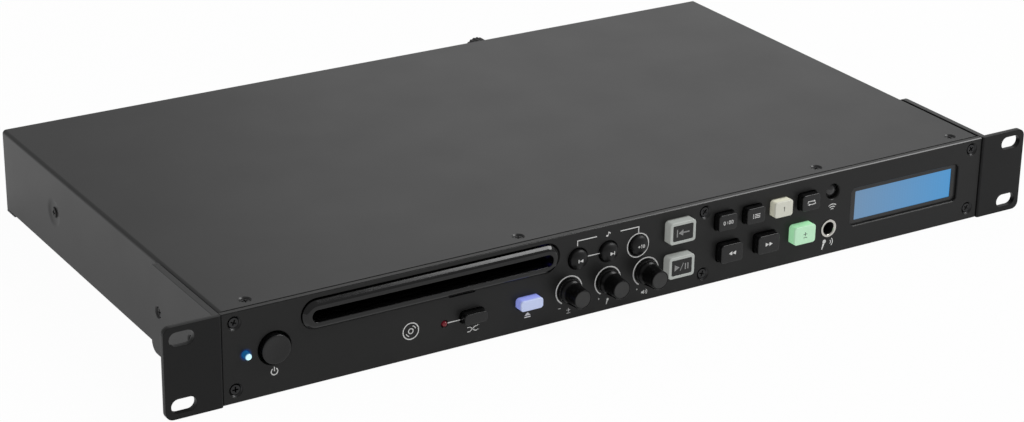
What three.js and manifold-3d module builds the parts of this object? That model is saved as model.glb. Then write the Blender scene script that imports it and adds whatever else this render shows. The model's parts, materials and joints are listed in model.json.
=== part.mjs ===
// Rack-mount CD player, one rack unit high, with a slot loader.
// Millimetres. X runs to the right, Y to the rear and Z up.
// Until the last lines, Y is zero at the front face and Z is zero under the rack ears.

import * as THREE from 'three';
import { mergeVertices } from 'three/addons/utils/BufferGeometryUtils.js';
import Module from 'manifold-3d';

const wasm = await Module();
wasm.setup();

// Sizes that many pieces share
const fit = 0.3;
const sheet = 1;
const boardThickness = 1.6;
const overrun = 1;
const grainCount = 10000;
const cornerSteps = 2;
const foldSteps = 4;
const endSteps = 4;
const holeSteps = 8;
const roundSteps = 14;
const fineSteps = 20;

// Ears and their rack slots. With the panel they are 482.6 wide, as the rack standard asks
const rackSlot = { inset: 8.75, pitch: 31.75, length: 12, height: 6.8 };
const ear = { reach: 27.5, height: 44, thickness: 3, proud: 1, bend: 1.5, corner: 3.8 };
const earFlange = {
  length: 67.5, corner: 5, screwInset: 8.5, screwPitch: 34, screwHole: 1.8, screwSink: 3.1,
};

// Case
const depth = 252;
const cover = { fold: 2, rise: 0.2, screwSetback: 9.1, screwHole: 1.5, screwSink: 2.6 };
const coverScrewShares = [-0.463, -0.136, 0.268, 0.468];
const dimple = { radius: 8, floor: 4.6, deep: 0.5, hole: 1.6, fromRear: 64, rise: 22.5 };
const panel = { height: 43.8, thickness: 3, lift: 0.1 };
const panelScrew = { hole: 1.7, sink: 3.1, side: 6.15, low: 6.3, high: 5.3 };
const lip = { height: 0.8, length: 10 };
const trayFlange = 11;
const pillar = { radius: 3, rise: 5.6 };

// Disc and the slot it goes through
const discDiameter = 120;
const slot = { spare: 5, height: 5.8, fromTop: 10.3, rim: 1.8, border: 4.1, proud: 2.2 };
const bezel = { flange: 0.8, throat: 1.2, throatEnd: 14, edge: 0.2, wall: 1 };
const notch = { width: 13.6, height: 1.2, deep: 1.4, fromSlot: 14.7 };

// Controls: distances and gaps along the panel, from its left edge to its right edge
const along = {
  ledFromEdge: 11.3, powerFromLed: 13.9, bezelFromPower: 13.7, shuffleLedFromSlot: 5.6, shuffleFromSlot: 20,
  ejectFromSlot: 50, trackFromBezel: 10.5, trackPitch: 16.95, knobFromBezel: 6, knobPitch: 21.65,
  knobToCue: 4.2, cueToScrew: 8.05, screwToSmall: 5.85, smallGap: 6.1, screwToLarge: 7.7, largeGap: 9.35,
  smallToSensor: 6.8, largeToJack: 6.65, jackToModule: 3.85, displayToEdge: 14,
};

// Controls: heights over the ears' lower edge, then steps and gaps from one row up to the next
const level = {
  power: 22.4, shuffleLed: 13.6, shuffle: 14.8, eject: 14.6, knob: 15.3, play: 15.1, largeKey: 15.9,
  jack: 14.2, display: 22.2,
};
const rowStep = { knobToTrack: 15.1, playToCue: 6.75, largeToSmall: 7.6, jackToSensor: 19.3 };

// Caps of the push buttons and the knobs
const cap = { flange: 1, flangeThickness: 1, travel: 1, stem: 4, edge: 0.6 };
const barCap = { width: 12, height: 5.2, reach: 4.3, corner: 1.4 };
const squareCap = { width: 14.7, height: 11.1, reach: 4, corner: 1.6 };
const squareFace = { width: 11.6, height: 8.2, deep: 0.35, corner: 0.8 };
const smallCap = { width: 10.6, height: 8.2, reach: 3.8, corner: 1.2 };
const largeCap = { width: 12.7, height: 9.4, reach: 4.3, corner: 1.4 };
const roundCap = { radius: 4.8, gap: 0.4, reach: 3.6, shoulder: 2.4, dome: 3.4 };
const powerCap = { radius: 7, gap: 0.9, reach: 2.3, edge: 0.5, travel: 2 };
const knob = {
  base: 6, tip: 4.7, reach: 12.3, lift: 0.6, edge: 0.5, shaft: 3, rib: 6.6, ribTip: 6, ribWidth: 3.2,
};
const knobRestDegrees = 255;

// Lamps, sensor and microphone socket
const powerLamp = { radius: 1.5, reach: 2.5, flange: 2.1 };
const shuffleLamp = { radius: 1.3, reach: 0.9, flange: 1.9 };
const sensor = { radius: 4, setback: 1.4, crown: 0.8, flange: 1 };
const jack = { bore: 3.2, nut: 4.7, barrel: 4.2, proud: 1.1, body: 14, length: 26, boreDepth: 20 };

// Display
const display = { width: 68.7, height: 20, setback: 2, corner: 2.5, flange: 1.2 };
const module = { sideMargin: 2.65, endMargin: 3, sideBorder: 3.35, endBorder: 2.3, screenDeep: 0.4 };

// Boards behind the panel and in the case
const controlBoard = {
  setback: 11, inset: 6, low: 4, high: 40, strip: 24, tower: 36, post: 2.5, postFromSlot: 31,
};
const controlSwitch = { size: 6, length: 4 };
const potentiometer = { radius: 7.5, end: 1.2 };
const mainBoard = { fromSide: 12, fromFront: 40, fromSupply: 17 };
const heatSink = { length: 30, width: 8, height: 18 };
const part = { pitch: 14, chip: 14, chipHeight: 3, can: 4, canHeight: 12 };
const supply = { width: 58, length: 56, fromRear: 30 };
const toroid = { outer: 29, inner: 9, height: 25, round: 5, fromSide: 52, fromRear: 58 };

// Sockets in the rear panel: places as shares of the case's width, then sizes
const rearShare = {
  inlet: 0.27, fuse: 0.17, xlrRight: -0.094, xlrLeft: -0.169, audio: -0.265, digital: -0.347,
};
const rearRise = { socket: 21.5, fuse: 34.2, low: 18 };
const inlet = {
  flangeWidth: 50, flangeHeight: 23, flange: 2, corner: 3, bodyWidth: 28, bodyHeight: 20.4, bodyLength: 24,
  cavityWidth: 24.4, cavityHeight: 16.6, cavityDepth: 16, pinLength: 11, pinWidth: 2, pinHeight: 4, pinGap: 7,
  earthRise: 4, screwGap: 20, screwHole: 1.6,
};
const gripCount = 10;
const gripSteps = 4;
const fuse = {
  cap: 7, capLength: 14, flange: 8.4, flangeThickness: 1.5, body: 5.6, bodyLength: 24,
  gripDeep: 1, gripStart: 3,
};
const xlr = {
  flangeWidth: 26, flangeHeight: 31, flange: 1.8, corner: 2, shell: 11.2, bore: 9.6, reach: 2.6, depth: 14,
  pin: 1.2, pinCircle: 4.2, pinLength: 10, screwX: 9.5, screwZ: 12, screwHole: 1.6, bodyLength: 22,
};
const xlrPinCount = 3;
const phono = {
  barrel: 4.15, bore: 1.6, boreDepth: 12, reach: 9, plate: 1.5, plateHeight: 17, corner: 1.5, margin: 5.5,
  pitch: 15, body: 11,
};

// Disc drive behind the slot
const drive = {
  sideRoom: 10.5, front: 15, frontRoom: 12, rearRoom: 34, wall: 1.5, headroom: 0.8, foot: 12,
  deckDrop: 7.1, deckThickness: 2, deckSetback: 13, guideRise: 2.8, guideThickness: 2.2, guideSetback: 0.8,
  guideDepth: 12, rearWallRise: 14,
};
const roller = { radius: 4, waist: 3.2, shaft: 1.5, drop: 6.1, setback: 6.5, end: 9 };
const gear = { module: 0.8, width: 3, stud: 1.5, backlash: 0.2 };
const teethCount = { roller: 16, idler: 24, pinion: 12 };
const toothShare = { addendum: 0.75, dedendum: 1 };
const pressureDegrees = 20;
const idlerDegrees = -40;
const pinionDegrees = -20;
const loadingMotor = {
  radius: 8, length: 25, shaft: 1, shaftLength: 12, boss: 3, bossLength: 0.8, endGap: 1,
};
const spindle = {
  drop: 3.6, radius: 15, rim: 2, cone: 7.2, coneTip: 6.2, coneHeight: 1.5, hub: 4, hubGap: 1,
  shaft: 1.2, shaftLength: 7,
};
const spindleMotor = { radius: 12.5, height: 10, floor: 1 };
const pickup = {
  inner: 23.5, travel: 35, width: 36, ahead: 6, behind: 14, drop: 6.2, height: 11.4, lens: 4, lensHeight: 1.6,
  gap: 1, lugWidth: 7, lugLength: 10, lugOver: 4, lugUnder: 3,
};
const guideRod = {
  radius: 1.5, offset: 22, drop: 13.8, lugLength: 5, lugWidth: 7, lugEnd: 1, frontLug: 12, rearLug: 74,
};
const screwDrive = { radius: 1.5, root: 1.1, lead: 6, offset: 29.5, journal: 0.8 };
const threadSteps = 4;
const screwSteps = 6;
const sledMotor = { radius: 4.4, length: 13, shaftLength: 6.5, endGap: 1 };
const clampArm = {
  thickness: 1.2, over: 5.8, width: 26, tail: 12, bar: 2, pin: 1.5, fromRear: 8.5, barReach: 60,
};
const clamper = {
  over: 2.7, disc: 11, discThickness: 1.5, neck: 6, neckGap: 1, flange: 8.4, flangeThickness: 1,
  recess: 8.2, recessDeep: 1.6,
};

// Finishes
function finish(color, roughness, metalness = 0) {
  return new THREE.MeshStandardMaterial({ color, roughness, metalness });
}
const finishes = {
  coverPaint: finish(0x4a4a4c, 0.55),
  panelPaint: finish(0x2c2c2d, 0.5),
  earPaint: finish(0x303031, 0.5),
  zinc: finish(0x9b9d9e, 0.4, 0.8),
  glossBlack: finish(0x1a1a1c, 0.2),
  smoked: finish(0x20242a, 0.1),
  screen: finish(0x5aa9e6, 0.35),
  board: finish(0x1f5a34, 0.6),
  blackCap: finish(0x18181a, 0.5),
  whiteCap: finish(0xe8e6ea, 0.45),
  violetCap: finish(0xc9ccff, 0.4),
  greenCap: finish(0xb6f2cf, 0.4),
  greyCap: finish(0xb9bcb8, 0.45),
  knobBlack: finish(0x202022, 0.6),
  blueLamp: finish(0xd8ecff, 0.2),
  redLamp: finish(0x7a2226, 0.3),
  nickel: finish(0xc4c4c0, 0.25, 1),
  steel: finish(0x8d9093, 0.3, 1),
  tin: finish(0xaeb0b2, 0.35, 0.9),
  rubber: finish(0x26262a, 0.85),
  whiteGear: finish(0xe6e2d6, 0.5),
  driveBlack: finish(0x252527, 0.6),
  copper: finish(0xb5763c, 0.4, 0.6),
};

// From three.js geometry to solids and back. Places are rounded finely, so that faces in one plane stay in it
const whole = Math.PI * 2;
const quarter = Math.PI / 2;
const radians = THREE.MathUtils.degToRad;

function solid(geometry) {
  const bare = geometry.clone();
  bare.deleteAttribute('normal');
  bare.deleteAttribute('uv');
  const merged = mergeVertices(bare);
  const places = merged.attributes.position;
  const index = merged.index.array;
  const corners = [];
  let volume = 0;
  const [a, b, c] = [new THREE.Vector3(), new THREE.Vector3(), new THREE.Vector3()];
  for (let i = 0; i < index.length; i += 3) {
    const [p, q, r] = index.slice(i, i + 3);
    if (p === q || q === r || r === p) continue;
    corners.push([p, q, r]);
    a.fromBufferAttribute(places, p);
    b.fromBufferAttribute(places, q);
    c.fromBufferAttribute(places, r);
    volume += a.dot(b.cross(c));
  }
  const outward = volume < 0 ? corners.map(([p, q, r]) => [p, r, q]) : corners;
  return new wasm.Manifold(new wasm.Mesh({
    numProp: 3,
    vertProperties: Float32Array.from(places.array, (place) => Math.round(place * grainCount) / grainCount),
    triVerts: new Uint32Array(outward.flat()),
  }));
}

function join(...pieces) {
  return pieces.reduce((sum, piece) => sum.add(piece));
}

function cut(body, ...tools) {
  return tools.reduce((rest, tool) => rest.subtract(tool), body);
}

function mesh(name, piece, material) {
  const { vertProperties, triVerts } = piece.getMesh();
  const geometry = new THREE.BufferGeometry();
  geometry.setAttribute('position', new THREE.BufferAttribute(new Float32Array(vertProperties), 3));
  geometry.setIndex(new THREE.BufferAttribute(new Uint32Array(triVerts), 1));
  geometry.computeVertexNormals();
  const made = new THREE.Mesh(geometry, material);
  made.name = name;
  return made;
}

function at(object, x, y, z) {
  object.position.set(x, y, z);
  return object;
}

// Basic shapes
function block(x0, x1, y0, y1, z0, z1) {
  const box = new THREE.BoxGeometry(x1 - x0, y1 - y0, z1 - z0);
  return solid(box.translate((x0 + x1) / 2, (y0 + y1) / 2, (z0 + z1) / 2));
}

function outline(points) {
  return new THREE.Shape(points.map(([x, y]) => new THREE.Vector2(x, y)));
}

function path(points) {
  return new THREE.Path(points.map(([x, y]) => new THREE.Vector2(x, y)));
}

function arcPoints(x, z, radius, from, to, steps) {
  return Array.from({ length: steps + 1 }, (_, n) => {
    const angle = from + ((to - from) * n) / steps;
    return [x + radius * Math.cos(angle), z + radius * Math.sin(angle)];
  });
}

// A rectangle with round corners, with its middle at x and z
function roundedPoints(width, height, corner, x, z, steps) {
  const [w, h] = [width / 2 - corner, height / 2 - corner];
  return [[1, -1], [1, 1], [-1, 1], [-1, -1]].flatMap(([right, up], n) => (
    arcPoints(x + right * w, z + up * h, corner, (n - 1) * quarter, n * quarter, steps)
  ));
}

function rounded(width, height, corner, x = 0, z = 0, steps = cornerSteps) {
  return outline(roundedPoints(width, height, corner, x, z, steps));
}

function roundedHole(width, height, corner, x, z, steps = cornerSteps) {
  return path(roundedPoints(width, height, corner, x, z, steps));
}

function ring(radius, x = 0, z = 0, steps = roundSteps) {
  return path(arcPoints(x, z, radius, 0, whole, steps).slice(1));
}

function rectangle(x0, x1, z0, z1) {
  return path([[x0, z0], [x1, z0], [x1, z1], [x0, z1]]);
}

// A shape drawn in X and Z, from y0 back to y1, with an optional rounded edge
function facing(shape, y0, y1, edge = 0) {
  const rounding = { bevelThickness: edge, bevelSize: edge, bevelOffset: -edge, bevelSegments: 1 };
  const options = { depth: y1 - y0 - 2 * edge, bevelEnabled: edge > 0, ...rounding };
  const swept = new THREE.ExtrudeGeometry(shape, options);
  return solid(swept.rotateX(quarter).translate(0, y1 - edge, 0));
}

// A shape drawn in X and Y, from z0 up to z1
function standing(shape, z0, z1) {
  const swept = new THREE.ExtrudeGeometry(shape, { depth: z1 - z0, bevelEnabled: false });
  return solid(swept.translate(0, 0, z0));
}

// A shape drawn in Y and Z, from x0 across to x1
function across(shape, x0, x1) {
  const swept = new THREE.ExtrudeGeometry(shape, { depth: x1 - x0, bevelEnabled: false });
  return solid(swept.rotateX(quarter).rotateZ(quarter).translate(x0, 0, 0));
}

// A profile of [radius, height] pairs turned about an axis through the given point
const turns = { x: (g) => g.rotateZ(-quarter), y: (g) => g, z: (g) => g.rotateX(quarter) };
function turned(axis, profile, [x, y, z] = [0, 0, 0], steps = roundSteps) {
  const lathe = new THREE.LatheGeometry(profile.map(([r, h]) => new THREE.Vector2(r, h)), steps);
  return solid(turns[axis](lathe).translate(x, y, z));
}

function rod(axis, radius, h0, h1, centre = [0, 0, 0], steps = roundSteps) {
  return turned(axis, [[0, h0], [radius, h0], [radius, h1], [0, h1]], centre, steps);
}

// Rows of round buttons and of knobs
const roundButtons = ['previous_button', 'next_button', 'plus_ten_button'];
const knobs = ['pitch', 'mic_volume', 'master'];

// Places along the panel, from its left edge
const slotLength = discDiameter + slot.spare;
const bezelHalf = slotLength / 2 + slot.border;
const bezelHeight = slot.height + 2 * slot.border;

const fromEdge = {};
fromEdge.powerLed = along.ledFromEdge;
fromEdge.power = fromEdge.powerLed + along.powerFromLed;
fromEdge.slot = fromEdge.power + along.bezelFromPower + bezelHalf;
fromEdge.shuffleLed = fromEdge.slot + along.shuffleLedFromSlot;
fromEdge.shuffle = fromEdge.slot + along.shuffleFromSlot;
fromEdge.eject = fromEdge.slot + along.ejectFromSlot;
fromEdge.notch = fromEdge.slot + notch.fromSlot;
const bezelEnd = fromEdge.slot + bezelHalf;
fromEdge.track = roundButtons.map((_, n) => bezelEnd + along.trackFromBezel + n * along.trackPitch);
fromEdge.knob = knobs.map((_, n) => bezelEnd + along.knobFromBezel + n * along.knobPitch);
fromEdge.cue = fromEdge.knob.at(-1) + knob.rib + along.knobToCue + squareCap.width / 2;
fromEdge.screw = fromEdge.cue + squareCap.width / 2 + along.cueToScrew;
fromEdge.small = keyRow(along.screwToSmall, smallCap.width, along.smallGap, 4);
fromEdge.large = keyRow(along.screwToLarge, largeCap.width, along.largeGap, 3);
fromEdge.sensor = fromEdge.small.at(-1) + smallCap.width / 2 + along.smallToSensor + sensor.radius;
fromEdge.jack = fromEdge.large.at(-1) + largeCap.width / 2 + along.largeToJack + jack.nut;
const beforeDisplay = Math.max(fromEdge.sensor + sensor.radius, fromEdge.jack + jack.body / 2);
fromEdge.display = beforeDisplay + along.jackToModule + module.sideMargin + display.width / 2;
const panelWidth = fromEdge.display + display.width / 2 + along.displayToEdge;

// A row of keys of one width, with equal gaps, that starts a distance after the middle screws
function keyRow(start, width, gap, count) {
  return Array.from({ length: count }, (_, n) => fromEdge.screw + start + width / 2 + n * (width + gap));
}

// The same places, from the middle of the panel
const x = Object.fromEntries(Object.entries(fromEdge).map(([name, place]) => [
  name, Array.isArray(place) ? place.map((each) => each - panelWidth / 2) : place - panelWidth / 2,
]));

// Heights of the controls
const rise = {
  ...level,
  track: level.knob + rowStep.knobToTrack,
  cue: level.play + squareCap.height + rowStep.playToCue,
  smallKey: level.largeKey + largeCap.height / 2 + rowStep.largeToSmall + smallCap.height / 2,
  sensor: level.jack + rowStep.jackToSensor,
};

// Places in the case
const coverWidth = panelWidth;
const earInner = coverWidth / 2 + fit;
const earOuter = earInner + ear.reach;
const earFront = -ear.proud;
const earBack = earFront + ear.thickness;
const frontBack = panel.thickness + fit;
const panelTop = panel.lift + panel.height;
const slotRise = panelTop - slot.fromTop;
const coverTop = panelTop + cover.rise;
const coverUnder = coverTop - sheet;
const coverInner = coverWidth / 2 - sheet;
const floorLow = lip.height + fit;
const floorTop = floorLow + sheet;
const trayOuter = coverInner - fit;
const trayInner = trayOuter - sheet;
const trayTop = coverUnder - fit;
const traySide = coverUnder - (cover.fold - sheet);
const rearFace = depth;
const rearInner = depth - sheet;
const trayRear = rearInner - fit;
const boardLow = floorTop + pillar.rise + fit;
const switchFront = controlBoard.setback - controlSwitch.length;

// Push buttons: name, size, place and finish
const buttons = [
  ['shuffle_button', barCap, x.shuffle, rise.shuffle, finishes.blackCap],
  ['eject_button', barCap, x.eject, rise.eject, finishes.violetCap],
  ['cue_button', squareCap, x.cue, rise.cue, finishes.greyCap],
  ['play_button', squareCap, x.cue, rise.play, finishes.greyCap],
  ['time_button', smallCap, x.small[0], rise.smallKey, finishes.blackCap],
  ['program_button', smallCap, x.small[1], rise.smallKey, finishes.blackCap],
  ['single_button', smallCap, x.small[2], rise.smallKey, finishes.whiteCap],
  ['repeat_button', smallCap, x.small[3], rise.smallKey, finishes.blackCap],
  ['reverse_button', largeCap, x.large[0], rise.largeKey, finishes.blackCap],
  ['forward_button', largeCap, x.large[1], rise.largeKey, finishes.blackCap],
  ['pitch_button', largeCap, x.large[2], rise.largeKey, finishes.greenCap],
];

const panelScrewXs = [panelScrew.side - panelWidth / 2, x.screw, panelWidth / 2 - panelScrew.side];
const panelScrewZs = [panel.lift + panelScrew.low, panelTop - panelScrew.high];

// A countersunk hole for a screw that goes in along an axis, its wide end at the given height
function sunk(axis, hole, sink, h0, h1, centre) {
  const way = Math.sign(h1 - h0);
  const [start, end] = [h0 - way * overrun, h0 + way * (sink - hole)];
  const profile = [[0, start], [sink, start], [sink, h0], [hole, end], [hole, h1], [0, h1]];
  return turned(axis, profile, centre, fineSteps / 2);
}

// Front panel with its openings
function frontPanel() {
  const shape = outline([
    [-panelWidth / 2, panel.lift], [panelWidth / 2, panel.lift],
    [panelWidth / 2, panelTop], [-panelWidth / 2, panelTop],
  ]);
  const holes = shape.holes;
  for (const [, size, bx, bz] of buttons) {
    holes.push(roundedHole(size.width + 2 * fit, size.height + 2 * fit, size.corner + fit, bx, bz));
  }
  for (const bx of x.track) holes.push(ring(roundCap.radius + roundCap.gap, bx, rise.track));
  for (const kx of x.knob) holes.push(ring(knob.shaft + fit, kx, rise.knob));
  holes.push(ring(powerCap.radius + powerCap.gap, x.power, rise.power, fineSteps));
  holes.push(ring(powerLamp.radius + fit, x.powerLed, rise.power, holeSteps));
  holes.push(ring(shuffleLamp.radius + fit, x.shuffleLed, rise.shuffleLed, holeSteps));
  holes.push(ring(sensor.radius, x.sensor, rise.sensor));
  holes.push(ring(jack.barrel + fit, x.jack, rise.jack));
  holes.push(roundedHole(display.width, display.height, display.corner, x.display, rise.display));
  const bezelHole = [2 * (bezelHalf + fit), bezelHeight + 2 * fit, bezelHeight / 2 + fit];
  holes.push(roundedHole(...bezelHole, x.slot, slotRise, endSteps));
  const plate = facing(shape, 0, panel.thickness);
  const screws = panelScrewXs.flatMap((sx) => panelScrewZs.map((sz) => (
    sunk('y', panelScrew.hole, panelScrew.sink, 0, panel.thickness + overrun, [sx, 0, sz])
  )));
  const low = slotRise - bezelHeight / 2;
  const relief = block(
    x.notch - notch.width / 2, x.notch + notch.width / 2, -overrun, notch.deep,
    low - notch.height / 2, low + notch.height / 2 + fit,
  );
  return mesh('front_panel', cut(plate, relief, ...screws), finishes.panelPaint);
}

// A loop of capsule outlines about the slot: each step is [distance from the slot's middle line, y]
function capsuleLoop(steps) {
  const half = (slotLength - slot.height) / 2;
  const sides = 2 * endSteps;
  const places = [];
  for (const [radius, y] of steps) {
    for (const end of [1, -1]) {
      for (let n = 0; n <= sides; n += 1) {
        const angle = quarter * (1 - end) + (Math.PI * n) / sides - quarter;
        places.push(end * half + radius * Math.cos(angle), y, radius * Math.sin(angle));
      }
    }
  }
  const count = 2 * (sides + 1);
  const index = [];
  for (let s = 0; s < steps.length; s += 1) {
    const next = (s + 1) % steps.length;
    for (let n = 0; n < count; n += 1) {
      const m = (n + 1) % count;
      const [p, q, r, t] = [s * count + n, s * count + m, next * count + m, next * count + n];
      index.push(p, q, r, p, r, t);
    }
  }
  const geometry = new THREE.BufferGeometry();
  geometry.setAttribute('position', new THREE.Float32BufferAttribute(places, 3));
  geometry.setIndex(index);
  return solid(geometry);
}

function slotBezel() {
  const inner = slot.height / 2;
  const outer = bezelHeight / 2;
  const face = -slot.proud;
  const flangeBack = frontBack + bezel.wall;
  const shell = capsuleLoop([
    [outer, frontBack], [outer, -bezel.edge], [inner + slot.rim, face], [inner, face],
    [inner, bezel.throatEnd], [inner + bezel.throat, bezel.throatEnd],
    [inner + bezel.throat, flangeBack], [outer + bezel.flange, flangeBack], [outer + bezel.flange, frontBack],
  ]);
  const side = notch.fromSlot;
  const relief = block(
    side - notch.width / 2, side + notch.width / 2, face - overrun, notch.deep,
    -outer - overrun, notch.height / 2 - outer,
  );
  return at(mesh('slot_bezel', cut(shell, relief), finishes.glossBlack), x.slot, 0, slotRise);
}

// One rack ear: a bent angle whose corners are rounded, with two rack slots and two screw holes
function rackEar(side) {
  const [near, far] = [earInner, earOuter];
  const middle = ear.height / 2;
  const inside = ear.bend + ear.thickness / 2;
  const plan = new THREE.Shape();
  plan.moveTo(side * near, earFlange.length);
  plan.lineTo(side * near, earFront + ear.bend);
  for (let n = 1; n <= foldSteps; n += 1) {
    const angle = (quarter * n) / foldSteps;
    const [aside, back] = [1 - Math.cos(angle), 1 - Math.sin(angle)];
    plan.lineTo(side * (near + ear.bend * aside), earFront + ear.bend * back);
  }
  plan.lineTo(side * far, earFront);
  plan.lineTo(side * far, earBack);
  plan.lineTo(side * (near + inside), earBack);
  plan.lineTo(side * (near + ear.thickness), earFront + inside);
  plan.lineTo(side * (near + ear.thickness), earFlange.length);
  const angle = standing(plan, 0, ear.height);
  const reach = 2 * (far - near);
  const frontMask = rounded(reach, ear.height, ear.corner, side * (far - reach / 2), middle, foldSteps);
  const flangeReach = 2 * earFlange.length;
  const flangeMask = rounded(flangeReach, ear.height, earFlange.corner, 0, middle, foldSteps);
  const trimmed = angle
    .intersect(facing(frontMask, earFront - overrun, earFlange.length + overrun))
    .intersect(across(flangeMask, side < 0 ? -far - overrun : 0, side < 0 ? 0 : far + overrun));
  const slots = [-1, 1].map((way) => facing(
    rounded(
      rackSlot.length, rackSlot.height, rackSlot.height / 2, side * (far - rackSlot.inset),
      middle + (way * rackSlot.pitch) / 2, endSteps,
    ),
    earFront - overrun, earBack + overrun,
  ));
  const outside = side * (near + ear.thickness);
  const screws = [0, 1].map((n) => sunk(
    'x', earFlange.screwHole, earFlange.screwSink, outside, side * (near - overrun),
    [0, earFlange.length - earFlange.screwInset - n * earFlange.screwPitch, middle],
  ));
  const name = side < 0 ? 'rack_ear_left' : 'rack_ear_right';
  return mesh(name, cut(trimmed, ...slots, ...screws), finishes.earPaint);
}

// Folded lid with both sides
function topCover() {
  const section = (half, low, top, radius) => outline([
    [-half, low], ...arcPoints(radius - half, top - radius, radius, Math.PI, quarter, foldSteps),
    ...arcPoints(half - radius, top - radius, radius, quarter, 0, foldSteps), [half, low],
  ]);
  const outer = section(coverWidth / 2, floorLow, coverTop, cover.fold);
  const inner = section(coverInner, floorLow - overrun, coverUnder, cover.fold - sheet);
  const hollow = facing(inner, frontBack - overrun, rearFace + overrun);
  const shell = cut(facing(outer, frontBack, rearFace), hollow);
  const front = coverScrewShares.map((s) => sunk(
    'z', cover.screwHole, cover.screwSink, coverTop, coverUnder - overrun,
    [s * coverWidth, cover.screwSetback, 0],
  ));
  const sides = [-1, 1].flatMap((side) => {
    const wall = (side * coverWidth) / 2;
    const place = [0, rearFace - dimple.fromRear, dimple.rise];
    const inward = wall - side * (sheet + overrun);
    return [
      turned('x', [
        [0, wall + side * overrun], [dimple.radius, wall + side * overrun], [dimple.radius, wall],
        [dimple.floor, wall - side * dimple.deep], [0, wall - side * dimple.deep],
      ], place),
      rod('x', dimple.hole, Math.min(wall, inward), Math.max(wall, inward), place, holeSteps),
    ];
  });
  return mesh('top_cover', cut(shell, ...front, ...sides), finishes.coverPaint);
}

// Windows in the tray's front wall, behind the controls
function wallWindows() {
  const clear = cap.flange + 2 * fit;
  const rounds = powerCap.radius + clear;
  const keyTop = rise.sensor + sensor.radius + clear;
  const jackLow = rise.jack - jack.nut - fit;
  const displaySide = display.width / 2 + display.flange + fit;
  const displayEnd = display.height / 2 + display.flange + fit;
  return [
    [x.powerLed - powerLamp.flange - fit, x.power + rounds, rise.power - rounds, rise.power + rounds],
    [
      x.slot - bezelHalf - bezel.flange - fit, x.slot + bezelHalf + bezel.flange + fit,
      slotRise - bezelHeight / 2 - bezel.flange - fit, slotRise + bezelHeight / 2 + bezel.flange + fit,
    ],
    [
      x.shuffleLed - shuffleLamp.flange - fit, x.eject + barCap.width / 2 + clear,
      rise.eject - barCap.height / 2 - clear, rise.shuffle + barCap.height / 2 + clear,
    ],
    [
      x.knob[0] - knob.shaft - clear, x.cue + squareCap.width / 2 + clear,
      rise.play - squareCap.height / 2 - clear, rise.cue + squareCap.height / 2 + clear,
    ],
    [x.small[0] - smallCap.width / 2 - clear, x.sensor + sensor.radius + clear, jackLow, keyTop],
    [x.display - displaySide, x.display + displaySide, rise.display - displayEnd, rise.display + displayEnd],
  ];
}

// Places of the pillars under a board that spans the given ranges
function pillarPlaces([x0, x1, y0, y1]) {
  const inset = 2 * pillar.radius;
  const [left, right] = [x0 + inset, x1 - inset];
  const [near, far] = [y0 + inset, y1 - inset];
  return [[left, near], [right, near], [left, far], [right, far]];
}

const supplyRear = rearInner - supply.fromRear;
const supplySpan = [x.screw + fit, x.screw + supply.width, supplyRear - supply.length, supplyRear];
const mainSpan = [
  x.slot + slotLength / 2 + drive.sideRoom + mainBoard.fromSide, trayInner - mainBoard.fromSide,
  mainBoard.fromFront, supplySpan[2] - mainBoard.fromSupply,
];

// Outline of an end wall that fits inside the cover's folds
function wallOutline(low) {
  return outline([
    [-trayOuter, low], [trayOuter, low], [trayOuter, traySide], [trayInner, trayTop],
    [-trayInner, trayTop], [-trayOuter, traySide],
  ]);
}

function chassisTray() {
  const wall = wallOutline(floorLow);
  for (const [x0, x1, z0, z1] of wallWindows()) wall.holes.push(rectangle(x0, x1, z0, z1));
  for (const sx of panelScrewXs) {
    for (const sz of panelScrewZs) wall.holes.push(ring(panelScrew.hole, sx, sz, holeSteps));
  }
  const frontWallBack = frontBack + sheet;
  const pieces = [
    facing(wall, frontBack, frontWallBack),
    block(-trayOuter, trayOuter, frontBack, trayRear, floorLow, floorTop),
    block(-trayOuter, -trayInner, frontBack, trayRear, floorLow, traySide),
    block(trayInner, trayOuter, frontBack, trayRear, floorLow, traySide),
    block(fit - trayInner, trayInner - fit, frontBack, frontBack + trayFlange, trayTop - sheet, trayTop),
  ];
  for (const span of [supplySpan, mainSpan]) {
    for (const [px, py] of pillarPlaces(span)) {
      pieces.push(rod('z', pillar.radius, floorLow, floorTop + pillar.rise, [px, py, 0], holeSteps));
    }
  }
  const middle = (panelScrewZs[0] + panelScrewZs[1]) / 2;
  const postPlaces = [[x.screw, middle], [x.slot - controlBoard.postFromSlot, rise.shuffle]];
  for (const [px, pz] of postPlaces) {
    const back = controlBoard.setback - fit;
    pieces.push(rod('y', controlBoard.post, frontBack, back, [px, 0, pz], holeSteps));
  }
  const holes = coverScrewShares.map((s) => rod(
    'z', cover.screwHole, trayTop - sheet - overrun, trayTop + overrun,
    [s * coverWidth, cover.screwSetback, 0], holeSteps,
  ));
  for (const side of [-1, 1]) {
    const places = [
      [rearFace - dimple.fromRear, dimple.rise],
      [earFlange.length - earFlange.screwInset, ear.height / 2],
      [earFlange.length - earFlange.screwInset - earFlange.screwPitch, ear.height / 2],
    ];
    const ends = [side * (trayInner - overrun), side * (trayOuter + overrun)];
    for (const [py, pz] of places) {
      holes.push(rod('x', dimple.hole, Math.min(...ends), Math.max(...ends), [0, py, pz], holeSteps));
    }
  }
  return mesh('chassis_tray', cut(join(...pieces), ...holes), finishes.zinc);
}

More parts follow.
